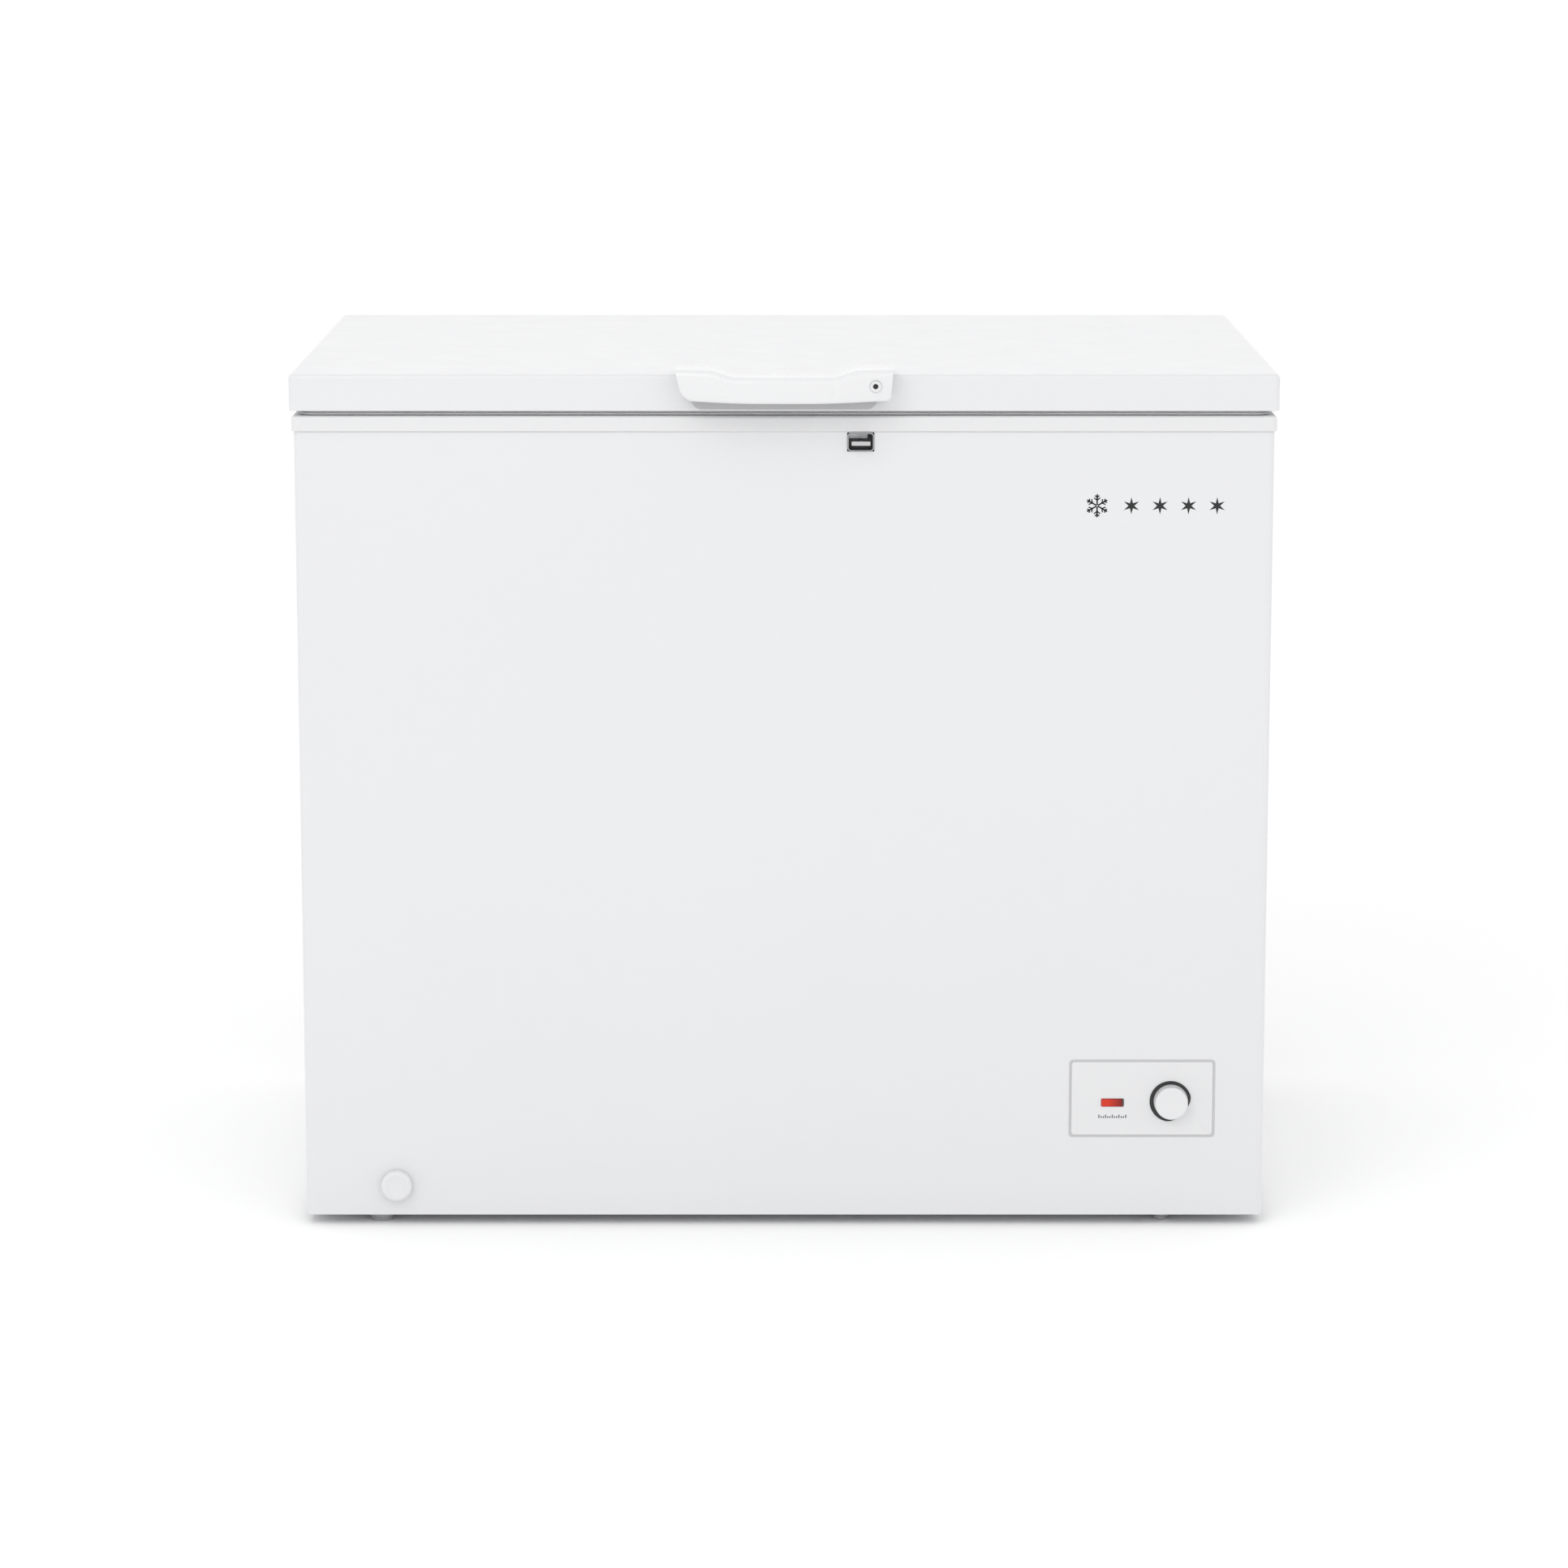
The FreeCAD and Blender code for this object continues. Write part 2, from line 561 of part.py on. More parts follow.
def insulation():
    """Poured foam, one node to each wall of the tub."""
    channels = coil_channels()
    full = ("-place.side_in", "place.side_in")
    height = ("place.plate_top", "place.collar_base")
    between = ("place.tub_front", "place.tub_rear")
    bay = box("bay_room", ("place.bay_left", "place.side"), ("place.front", "place.rear"),
              ("0", "place.bay_top"))
    drain = box("drain_room",
                ("place.drain_x - size.drain_channel", "place.drain_x + size.drain_channel"),
                ("place.front", "place.drain_y + size.drain_channel"),
                ("size.drain_z - size.drain_channel", "size.drain_z + size.drain_channel"))
    drop = box("drain_drop",
               ("place.drain_x - size.drain_channel", "place.drain_x + size.drain_channel"),
               ("place.drain_y - size.drain_channel", "place.drain_y + size.drain_channel"),
               ("size.drain_z", "place.tub_floor + 1"))
    catch = box("catch_room",
                ("place.catch_x - size.catch_width / 2", "place.catch_x + size.catch_width / 2"),
                ("place.front", "place.front_in + size.catch_depth"),
                ("place.collar_base - size.catch_height", "place.collar_base + 1"))
    front = prism("front_foam", "XY", [rect(*full, "place.front_in", "place.tub_front")], *height)
    fillet(front, "size.wrap_corner - size.skin", front_corners())
    node("foam_front", cut("foam_front", front, [bay, drain, catch, channels]))
    back = box("back_foam", full, ("place.tub_rear", "place.rear_in"), height)
    node("foam_back", cut("foam_back", back, [bay, channels, condenser_channels()]))
    left = box("left_foam", ("-place.side_in", "-place.tub_side"), between, height)
    node("foam_left", cut("foam_left", left, [channels]))
    right = box("right_foam", ("place.tub_side", "place.side_in"), between,
                ("place.bay_top", "place.collar_base"))
    node("foam_right", cut("foam_right", right, [channels]))
    floor = box("floor_foam", ("-place.tub_side", "place.step_left"), between,
                ("place.plate_top", "place.tub_floor"))
    node("foam_floor", cut("foam_floor", floor, [drain, drop]))
    upright = box("step_upright", ("place.step_left", "place.bay_left"), between,
                  ("place.plate_top", "place.step_top"))
    slab = box("step_slab", ("place.bay_left", "place.tub_side"), between,
               ("place.bay_top", "place.step_top"))
    node("foam_step", fuse("foam_step", [upright, slab]))


def tub():
    """Sheet liner with a step over the compressor bay, and a hole for the drain plug."""
    outline = [
        ("-place.tub_side", "place.tub_floor"), ("place.step_left", "place.tub_floor"),
        ("place.step_left", "place.step_top"), ("place.tub_side", "place.step_top"),
        ("place.tub_side", "place.collar_base"), ("-place.tub_side", "place.collar_base"),
    ]
    liner = prism("inner_liner", "XZ", [outline], "place.tub_front", "place.tub_rear")
    far = place.far
    upright = along(Vector(0, 0, 1))
    corners = within((-far, -far, place.tub_floor), (-place.tub_side + 1, far, far), upright)
    fillet(liner, "size.tub_corner", corners)
    corners = within((place.tub_side - 1, -far, place.step_top), (far, far, far), upright)
    fillet(liner, "size.tub_corner", corners)
    fillet(liner, "size.tub_floor_corner", at_height(place.tub_floor))
    hollow(liner, "size.liner", Vector(0, 0, 1))
    hole = [("circle", "place.drain_x", "place.drain_y", "size.drain_tube_radius")]
    pocket(liner, "XY", hole, "place.tub_floor - 1", "place.tub_floor + 2")
    node("inner_liner", liner)


def collar():
    """Moulded ring on top of the cabinet, with a ledge that the basket hangs on."""
    inset = "size.collar_inset"
    outer = rect(f"-place.lid_side + {inset}", f"place.lid_side - {inset}",
                 f"place.lid_front + {inset}", f"place.lid_rear - {inset}")
    mouth = rect("-place.mouth_side", "place.mouth_side", "place.mouth_front", "place.mouth_rear")
    ring = prism("top_collar", "XY", [outer, mouth], "place.collar_base", "place.collar_top")
    far = place.far
    upright = along(Vector(0, 0, 1))
    edge = place.lid_side - sheet.collar_inset
    for low, high in ((-far, 1 - edge), (edge - 1, far)):
        fillet(ring, "size.collar_edge", within((low, -far, 0), (high, far, far), upright))
    margin = sheet.collar_inset + sheet.collar_edge + 1
    top = at_height(place.collar_top)

    def rim(edge):
        middle = edge.CenterOfMass
        beyond = middle.y < place.lid_front + margin or middle.y > place.lid_rear - margin
        return top(edge) and (abs(middle.x) > place.lid_side - margin or beyond)
    fillet(ring, "size.collar_edge", rim)
    ledge = rect("-place.mouth_side - size.ledge_width", "place.mouth_side + size.ledge_width",
                 "place.mouth_front - size.ledge_width", "place.mouth_rear + size.ledge_width")
    pocket(ring, "XY", [ledge], "place.ledge", "place.collar_top + 1")
    hollow(ring, "size.collar_wall", Vector(0, 0, -1))
    node("top_collar", ring)


# ---- refrigeration ----------------------------------------------------------------

def evaporator():
    """Tube wound round the tub: each turn runs back the way the last one came."""
    off = sheet.evaporator_radius + sheet.clearance
    side = place.tub_side + off
    near = place.tub_front - off
    far = place.tub_rear + off
    points = []
    for level in range(EVAPORATOR_TURNS):
        height = place.evaporator_first + level * place.evaporator_pitch
        turn = [(place.riser_left, far), (-side, far), (-side, near), (side, near), (side, far),
                (place.riser_right, far)]
        if level % 2:
            turn.reverse()
        points += [Vector(x, y, height) for x, y in turn]
    piece = tube("evaporator_coil", points, sheet.evaporator_radius, sheet.evaporator_bend)
    node("evaporator_coil", piece)


def condenser():
    """Serpentine on the inside of the back panel."""
    y = place.rear_in - sheet.condenser_radius - sheet.clearance
    points = []
    for run in range(CONDENSER_RUNS):
        x = place.condenser_left + run * sheet.condenser_pitch
        ends = [Vector(x, y, place.condenser_low), Vector(x, y, place.condenser_high)]
        if run % 2:
            ends.reverse()
        points += ends
    piece = tube("condenser_coil", points, sheet.condenser_radius, sheet.condenser_bend)
    node("condenser_coil", piece)


def compressor():
    """Hermetic compressor on four rubber grommets, with its relay, drier and line."""
    x, y = "place.compressor_x", "place.compressor_y"
    z = "place.plate_top + size.grommet_height"
    wide, tall, wall = "size.compressor_radius", "size.compressor_height", "size.compressor_wall"
    slope, lip = "size.compressor_slope", "size.compressor_lip"
    shell = turned("compressor_shell", (x, y, z), "up", [
        ("0", "0"), (f"{wide} - {slope}", "0"), (wide, slope),
        (wide, f"{tall} / 2 - {lip}"), (f"{wide} + {lip}", f"{tall} / 2 - {lip}"),
        (f"{wide} + {lip}", f"{tall} / 2"), (wide, f"{tall} / 2"),
        (wide, f"{tall} - {slope}"), (f"{wide} - {slope}", tall), ("0", tall),
        ("0", f"{tall} - {wall}"), (f"{wide} - {slope} - {wall}", f"{tall} - {wall}"),
        (f"{wide} - {wall}", f"{tall} - {slope} - {wall}"),
        (f"{wide} - {wall}", f"{slope} + {wall}"),
        (f"{wide} - {slope} - {wall}", wall), ("0", wall),
    ])
    leg = "size.leg_half"
    legs = box("compressor_legs", (f"{x} - {leg}", f"{x} + {leg}"), (f"{y} - {leg}", f"{y} + {leg}"),
               (f"{z} - size.leg_thickness", z))
    node("compressor_shell", fuse("compressor", [shell, legs]))
    motor = turned("compressor_motor", (x, y, z), "up", [
        ("0", wall), ("size.motor_radius", wall), ("size.motor_radius", "size.stator_low"),
        ("size.stator_radius", "size.stator_low"), ("size.stator_radius", "size.stator_high"),
        ("0", "size.stator_high"),
    ])
    node("compressor_motor", motor)
    grommets = []
    inset = f"({leg} - size.grommet_radius)"
    height = "size.grommet_height - size.leg_thickness"
    for step, (side, end) in enumerate(((-1, -1), (1, -1), (-1, 1), (1, 1))):
        corner = (f"{x} + {side} * {inset}", f"{y} + {end} * {inset}", "place.plate_top")
        grommets.append(turned(f"grommet_{step}", corner, "up", [
            ("size.grommet_bore", "0"), ("size.grommet_radius", "0"),
            ("size.grommet_radius", height), ("size.grommet_bore", height),
        ]))
    node("compressor_grommets", group("compressor_grommets", grommets))
    relay_rear = f"{y} - {wide} - size.relay_gap"
    relay = box("relay_cover", (f"{x} - size.relay_width / 2", f"{x} + size.relay_width / 2"),
                (f"{relay_rear} - size.relay_depth", relay_rear),
                (f"{z} + size.relay_rise", f"{z} + size.relay_rise + size.relay_height"))
    node("relay_cover", relay)
    neck, cone, length = "size.drier_neck", "size.drier_cone", "size.drier_length"
    corner = (f"{x} - size.drier_left", f"{y} + size.drier_back", f"{z} + size.drier_rise")
    drier = turned("filter_drier", corner, "up", [
        ("0", "0"), (neck, "0"), (neck, cone), ("size.drier_radius", f"2 * {cone}"),
        ("size.drier_radius", f"{length} - 2 * {cone}"), (neck, f"{length} - {cone}"),
        (neck, length), ("0", length),
    ])
    node("filter_drier", drier)
    start = Vector(place.compressor_x + sheet.compressor_radius / 2, place.compressor_y,
                   place.plate_top + sheet.grommet_height + sheet.compressor_height)
    over = start + Vector(0, 0, sheet.line_rise)
    down = Vector(place.tub_side - sheet.line_inset, place.tub_rear - sheet.line_setback, over.z)
    line = [start, over, down, Vector(down.x, down.y, place.bay_top)]
    node("suction_line", tube("suction_line", line, sheet.line_radius, sheet.line_bend))


def drain():
    """Tube from the tub floor to the front, with a plug above and a cap outside."""
    x, y, z = place.drain_x, place.drain_y, sheet.drain_z
    points = [Vector(x, y, place.tub_floor), Vector(x, y, z), Vector(x, place.front, z)]
    outside = sheet.drain_tube_radius - sheet.clearance
    bend = sheet.drain_tube_radius + sheet.drain_bend_gap
    node("drain_tube", tube("drain_tube", points, outside, bend, sheet.drain_bore))
    stem, end, edge = "size.drain_stem", "-size.drain_stem_length", "size.drain_stem_edge"
    wide, tall, round_by = "size.drain_cap_radius", "size.drain_cap_height", "size.drain_cap_edge"
    mouth = ("place.drain_x", "place.front - size.clearance", "size.drain_z")
    cap = turned("drain_cap", mouth, "front", [
        ("0", end), (f"{stem} - {edge}", end), (stem, f"{end} + {edge}"), (stem, "0"),
        (wide, "0"), (wide, f"{tall} - {round_by}"), (f"{wide} - {round_by}", tall), ("0", tall),
    ])
    node("drain_cap", cap)
    rim, rim_top = "size.plug_rim", "size.plug_rim_height"
    hole = ("place.drain_x", "place.drain_y", "place.tub_floor + size.liner")
    plug = turned("drain_plug", hole, "up", [
        ("0", end), (f"{stem} - {edge}", end), (stem, f"{end} + {edge}"), (stem, "size.clearance"),
        (rim, "size.clearance"), (rim, rim_top), ("size.plug_neck_foot", f"{rim_top} + {edge}"),
        ("size.plug_neck", "size.plug_neck_height"), ("size.plug_grip", "size.plug_height"),
        ("0", "size.plug_height"),
    ])
    node("drain_plug", plug)


# ---- front fittings ---------------------------------------------------------------

def control_panel():
    """Fascia in the front with the temperature knob, the lamp and what is behind them."""
    face, wide, tall = "place.panel_face", "size.panel_width / 2", "size.panel_height / 2"
    behind = f"{face} + size.panel_thickness"
    outline = rect(f"place.panel_x - {wide}", f"place.panel_x + {wide}",
                   f"size.panel_z - {tall}", f"size.panel_z + {tall}")
    fascia = prism("control_panel", "XZ", [outline], face, behind)
    fillet(fascia, "size.panel_corner", along(Vector(0, 1, 0)))
    lens_hole = rect("place.lens_x - size.lens_width / 2", "place.lens_x + size.lens_width / 2",
                     "place.lens_z - size.lens_height / 2", "place.lens_z + size.lens_height / 2")
    shaft_hole = ("circle", "place.knob_x", "place.knob_z", "size.shaft_radius + size.shaft_hole_gap")
    pocket(fascia, "XZ", [lens_hole, shaft_hole], f"{face} - 1", f"{behind} + 1")
    node("control_panel", fascia)

    margin, wall = "size.panel_box_margin", "size.panel_box_wall"
    housing = prism("panel_box", "XZ", [
        rect(f"place.panel_x - {wide} + {margin}", f"place.panel_x + {wide} - {margin}",
             f"size.panel_z - {tall} + {margin}", f"size.panel_z + {tall} - {margin}")],
        behind, f"{behind} + size.panel_box_depth")
    hollow(housing, wall, Vector(0, -1, 0))
    node("panel_box", housing)

    ring = turned("knob_ring", ("place.knob_x", face, "place.knob_z"), "front", [
        ("size.ring_bore", "0"), ("size.ring_radius", "0"),
        ("size.ring_radius", "size.ring_thickness"), ("size.ring_bore", "size.ring_thickness"),
    ])
    corners = [("place.knob_x", "place.knob_z")]
    for angle in ("size.ring_gap_start * 1 deg", "size.ring_gap_end * 1 deg"):
        corners.append((f"place.knob_x + 2 * size.ring_radius * cos({angle})",
                        f"place.knob_z + 2 * size.ring_radius * sin({angle})"))
    gap = prism("ring_gap", "XZ", [corners], f"{face} - 2 * size.ring_thickness", f"{face} + 1")
    node("knob_ring", cut("knob_ring_open", ring, [gap]))

    inside = f"{behind} + size.stat_gap"
    stat = box("thermostat_case",
               ("place.knob_x - size.stat_width / 2", "place.knob_x + size.stat_width / 2"),
               (inside, f"{inside} + size.stat_depth"),
               ("place.knob_z - size.stat_height / 2", "place.knob_z + size.stat_height / 2"))
    shaft = rod("thermostat_shaft", "place.knob_x", inside, "place.knob_z", "front",
                "size.panel_thickness + size.stat_gap + size.shaft_length", "size.shaft_radius")
    node("thermostat", fuse("thermostat", [stat, shaft]))
    bore = "size.shaft_radius + size.pin_clearance"
    wide_knob, edge = "size.knob_radius", "size.knob_edge"
    on_face = ("place.knob_x", f"{face} - size.knob_gap", "place.knob_z")
    knob = turned("thermostat_knob", on_face, "front", [
        (bore, "0"), (wide_knob, "0"), (wide_knob, f"size.knob_height - {edge}"),
        (f"{wide_knob} - {edge}", "size.knob_height"), ("0", "size.knob_height"),
        ("0", "size.shaft_length"), (bore, "size.shaft_length"),
    ])
    node("thermostat_knob", knob)
    lens = prism("indicator_lens", "XZ", [lens_hole], f"{face} - size.lens_proud", behind)
    node("indicator_lens", lens)
    lamp = box("indicator_lamp",
               ("place.lens_x - size.lamp_width / 2", "place.lens_x + size.lamp_width / 2"),
               (inside, f"{inside} + size.lamp_depth"),
               ("place.lens_z - size.lamp_height / 2", "place.lens_z + size.lamp_height / 2"))
    node("indicator_lamp", lamp)


def lock_catch():
    """Pocket under the collar with a headed stud that the lock's hook swings round."""
    low, high = "place.collar_base - size.catch_height", "place.collar_base"
    frame = prism("catch_frame", "XZ", [
        rect("place.catch_x - size.catch_width / 2", "place.catch_x + size.catch_width / 2", low, high)],
        "place.front - size.skin", "place.front_in + size.catch_depth")
    hollow(frame, "size.catch_wall", Vector(0, -1, 0))
    node("catch_frame", frame)
    root = "place.front_in + size.catch_depth - size.catch_wall"
    head = "place.cam_front - size.clearance - size.notch_gap"
    stem = rod("stud_stem", "place.catch_x", root, "place.catch_z", "front",
               f"{root} - ({head})", "size.stud_radius")
    plate = box("stud_head",
                ("place.catch_x - size.stud_head_width / 2", "place.catch_x + size.stud_head_width / 2"),
                (f"{head} - size.stud_head_thickness", head),
                ("place.catch_z - size.stud_head_height / 2",
                 "place.catch_z + size.stud_head_height / 2"))
    node("catch_stud", fuse("catch_stud", [stem, plate]))


def foot(label, x, radius, y):
    node(label, turned(label, (x, y, "0"), "up", [
        ("0", "0"), (f"{radius} - size.foot_taper", "0"), (radius, "size.foot_height"),
        ("0", "size.foot_height"),
    ]))


def feet():
    near = "place.front + size.foot_front_setback"
    far = "place.rear - size.foot_rear_setback"
    for label, y in (("front", near), ("rear", far)):
        foot(f"foot_{label}_left", "size.foot_left_inset - place.side", "size.foot_left_radius", y)
        foot(f"foot_{label}_right", "place.side - size.foot_right_inset", "size.foot_right_radius", y)


def slots_in(body, role, across, up, count, low, high):
    """Cut a ladder of louvre slots."""
    loops = []
    for step in range(count):
        middle = f"{up} + {step - (count - 1) / 2} * size.slot_pitch"
        loops.append(rect(f"{across} - size.slot_half", f"{across} + size.slot_half",
                          f"{middle} - size.slot_height / 2", f"{middle} + size.slot_height / 2"))
    return pocket(body, role, loops, low, high)


def bay_covers():
    """Louvred cover over the rear of the bay, side grille, gland and screws."""
    left, right = "place.bay_left + size.cover_gap", "place.side_in - size.cover_gap"
    low, high = "place.plate_top", "place.bay_top"
    outside = "place.rear + size.bracket_thickness"
    cover = prism("rear_cover", "XZ", [
        rect(left, right, low, high),
        ("circle", "place.gland_x", "size.gland_z", "size.gland_radius - size.gland_lip")],
        "place.rear", outside)
    across = f"(({left}) + ({right})) / 2"
    slots_in(cover, "XZ", across, f"({low} + {high}) / 2 + size.louvre_rise", COVER_SLOTS,
             "place.rear - 1", f"{outside} + 1")
    inset, end = "size.cover_screw_inset", "size.cover_screw_end"
    spots = [(x, z) for x in (f"{left} + {inset}", f"{right} - {inset}")
             for z in (f"{low} + {end}", f"({low} + {high}) / 2", f"{high} - {end}")]
    screw_holes(cover, spots, "place.rear - 1", f"{outside} + 1")
    node("rear_cover", cover)
    screws = [screw(f"cover_screw_{step}", (x, outside, z), "back", "size.bracket_thickness")
              for step, (x, z) in enumerate(spots)]
    node("rear_cover_screws", group("rear_cover_screws", screws))

    wide, tall = "size.grille_width / 2", "size.grille_height / 2"
    plate = prism("side_grille", "YZ", [
        rect(f"place.grille_y - {wide}", f"place.grille_y + {wide}",
             f"size.grille_z - {tall}", f"size.grille_z + {tall}")],
        "place.side_in", "place.side + size.grille_proud")
    slots_in(plate, "YZ", "place.grille_y", "size.grille_z", GRILLE_SLOTS, "place.side_in - 1",
             "place.side + size.grille_proud + 1")
    node("side_grille", plate)
    neck = "size.gland_radius - size.gland_lip"
    seat = "size.gland_seat + size.bracket_thickness"
    gland = turned("cord_gland", ("place.gland_x", "place.rear - size.gland_seat", "size.gland_z"), "back", [
        ("size.gland_bore", "0"), (neck, "0"), (neck, seat), ("size.gland_radius", seat),
        ("size.gland_radius - size.gland_lip / 2", "size.gland_length"),
        ("size.gland_bore", "size.gland_length"),
    ])
    node("cord_gland", gland)


def screw_holes(plate, spots, low, high):
    """Drill an upright plate for its screws."""
    loops = [("circle", x, z, "size.screw_shank") for x, z in spots]
    return pocket(plate, "XZ", loops, low, high)


def screw(name, point, turn, depth):
    """Pan head outside a face, shank of the given depth behind it."""
    return turned(name, point, turn, [
        ("0", f"-({depth})"), ("size.screw_shank", f"-({depth})"), ("size.screw_shank", "0"),
        ("size.screw_head", "0"), ("size.screw_head", "size.screw_head_height / 2"),
        ("size.screw_head - 1", "size.screw_head_height"), ("0", "size.screw_head_height"),
    ])


# ---- hinges -----------------------------------------------------------------------

def hinges():
    """Two spring hinges: bracket on the back, leaf on the lid, pin and torsion spring."""
    bracket_screws, leaf_screws = [], []
    for label, side in (("left", -1), ("right", 1)):
        centre = f"{side} * place.hinge_x"
        half = "size.bracket_width / 2"
        behind = "place.rear + size.bracket_thickness"
        top = "place.collar_base - size.clearance"
        bracket = prism(f"hinge_bracket_{label}", "XZ", [
            rect(f"{centre} - {half}", f"{centre} + {half}",
                 "place.collar_base - size.bracket_drop", top)], "place.rear", behind)
        ear_foot = "place.collar_base - size.ear_foot"
        ear = [
            (behind, ear_foot), ("place.pivot_y - size.ear_waist", ear_foot),
            ("place.pivot_y + size.knuckle_radius", "place.pivot_z - size.ear_shoulder"),
            ("place.pivot_y + size.knuckle_radius", "place.pivot_z"),
            ("place.pivot_y - size.knuckle_radius", "place.pivot_z"), (behind, top),
        ]
        wide = "size.bracket_thickness"
        for end in (f"{centre} - size.ear_offset", f"{centre} + size.ear_offset - {wide}"):
            pad(bracket, "YZ", [ear], end, f"{end} + {wide}")
            eye = ("circle", "place.pivot_y", "place.pivot_z", "size.knuckle_radius")
            pad(bracket, "YZ", [eye], end, f"{end} + {wide}")
        foot_of_plate = "place.collar_base - size.bracket_drop"
        bracket_spots = [(f"{centre} + {way} * size.bracket_screw_half", f"{foot_of_plate} + {height}")
                         for way in (-1, 1)
                         for height in ("size.bracket_screw_low", "size.bracket_screw_high")]
        screw_holes(bracket, bracket_spots, "place.rear - 1", f"{behind} + 1")
        pin_hole = ("circle", "place.pivot_y", "place.pivot_z", "size.pin_radius")
        pocket(bracket, "YZ", [pin_hole], f"{centre} - {half}", f"{centre} + {half}")
        node(f"hinge_bracket_{label}", bracket)

        on_lid = "place.lid_rear"
        leaf_low = "place.lid_base + size.leaf_drop"
        leaf = prism(f"lid_leaf_{label}", "XZ", [
            rect(f"{centre} - {half}", f"{centre} + {half}", leaf_low,
                 f"{leaf_low} + size.leaf_height")], on_lid, f"{on_lid} + {wide}")
        lug = [
            (on_lid + " + size.clearance", leaf_low),
            (f"{on_lid} + {wide}", f"{leaf_low} + size.lug_root"),
            ("place.pivot_y + size.lug_radius", "place.pivot_z + size.lug_shoulder"),
            ("place.pivot_y + size.lug_radius", "place.pivot_z"),
            ("place.pivot_y - size.lug_radius", "place.pivot_z"),
        ]
        for end in (f"{centre} - size.lug_offset", f"{centre} + size.lug_offset - {wide}"):
            pad(leaf, "YZ", [lug], end, f"{end} + {wide}")
            pad(leaf, "YZ", [("circle", "place.pivot_y", "place.pivot_z", "size.lug_radius")],
                end, f"{end} + {wide}")
        leaf_spots = [(f"{centre} + {way} * size.leaf_screw_half", f"{leaf_low} + size.leaf_height / 2")
                      for way in (-1, 1)]
        screw_holes(leaf, leaf_spots, f"{on_lid} - 1", f"{on_lid} + {wide} + 1")
        bore = ("circle", "place.pivot_y", "place.pivot_z", "size.pin_radius + size.pin_clearance")
        pocket(leaf, "YZ", [bore], f"{centre} - {half}", f"{centre} + {half}")
        node(f"lid_leaf_{label}", leaf)

        head, head_end = "size.pin_radius + size.pin_head", "size.pin_head_length"
        pin_end = f"2 * size.ear_offset + 2 * {head_end}"
        pin_start = (f"{centre} - size.ear_offset - {head_end}", "place.pivot_y", "place.pivot_z")
        pin = turned(f"hinge_pin_{label}", pin_start, "right", [
            ("0", "0"), (head, "0"), (head, head_end), ("size.pin_radius", head_end),
            ("size.pin_radius", pin_end), ("0", pin_end),
        ])
        node(f"hinge_pin_{label}", pin)
        node(f"hinge_spring_{label}", spring(f"hinge_spring_{label}", side * place.hinge_x))
        for step, (x, z) in enumerate(bracket_spots):
            name = f"bracket_screw_{label}_{step}"
            bracket_screws.append(screw(name, (x, behind, z), "back", wide))
        for step, (x, z) in enumerate(leaf_spots):
            name = f"leaf_screw_{label}_{step}"
            leaf_screws.append(screw(name, (x, f"{on_lid} + {wide}", z), "back", wide))
    node("bracket_screws", group("bracket_screws", bracket_screws))
    node("leaf_screws", group("leaf_screws", leaf_screws))


def spring(name, x):
    """Torsion spring wound round a hinge pin."""
    length = sheet.spring_pitch * sheet.spring_turns
    helix = Part.makeHelix(sheet.spring_pitch, length, sheet.spring_radius)
    start = Vector(sheet.spring_radius, 0, 0)
    ring = Part.Circle(start, Vector(0, 1, 0), sheet.spring_wire / 2).toShape()
    shape = Part.Wire(helix.Edges).makePipeShell([Part.Wire([ring])], True, True)
    piece = doc.addObject("Part::Feature", name)
    piece.Shape = shape
    base = Vector(x - length / 2, place.pivot_y, place.pivot_z)
    piece.Placement = Placement(base, TURNS["right"])
    return piece


# ---- lid --------------------------------------------------------------------------

def lid():
    """Folded lid skin, its foam, the moulded inner panel and the gasket under it."""
    outline = rect("-place.lid_side", "place.lid_side", "place.lid_front", "place.lid_rear")
    skin = prism("lid_skin", "XY", [outline], "place.lid_base", "size.lid_top")
    fillet(skin, "size.lid_corner", along(Vector(0, 0, 1)))
    fillet(skin, "size.lid_edge", at_height(sheet.lid_top))
    hollow(skin, "size.skin", Vector(0, 0, -1))
    node("lid_skin", skin)

    def inside(gap):
        return rect(f"-place.lid_side + ({gap})", f"place.lid_side - ({gap})",
                    f"place.lid_front + ({gap})", f"place.lid_rear - ({gap})")

    def plug(gap):
        edge = f"(size.plug_gap + {gap})"
        return rect(f"-place.mouth_side + {edge}", f"place.mouth_side - {edge}",
                    f"place.mouth_front + {edge}", f"place.mouth_rear - {edge}")
    corner = "size.lid_corner - size.skin"
    wall = "size.panel_wall"
    panel = prism("lid_inner_panel", "XY", [inside("size.skin")], "place.lid_base",
                  f"place.lid_base + {wall}")
    fillet(panel, corner, along(Vector(0, 0, 1)))
    pad(panel, "XY", [plug("0")], "place.plug_base", "place.lid_base")
    pocket(panel, "XY", [plug(wall)], f"place.plug_base + {wall}", f"place.lid_base + {wall}")
    node("lid_inner_panel", panel)

    foam = prism("lid_foam", "XY", [inside("size.skin")], f"place.lid_base + {wall}",
                 "size.lid_top - size.skin")
    fillet(foam, corner, along(Vector(0, 0, 1)))
    fillet(foam, "size.lid_edge - size.skin", at_height(sheet.lid_top - sheet.skin))
    pad(foam, "XY", [plug(wall)], f"place.plug_base + {wall}", f"place.lid_base + {wall}")
    node("lid_foam", foam)

    far = "size.gasket_setback + size.gasket_width"
    gasket = prism("lid_gasket", "XY", [inside("size.gasket_setback"), inside(far)],
                   "place.collar_top + size.clearance", "place.lid_base")
    node("lid_gasket", gasket)


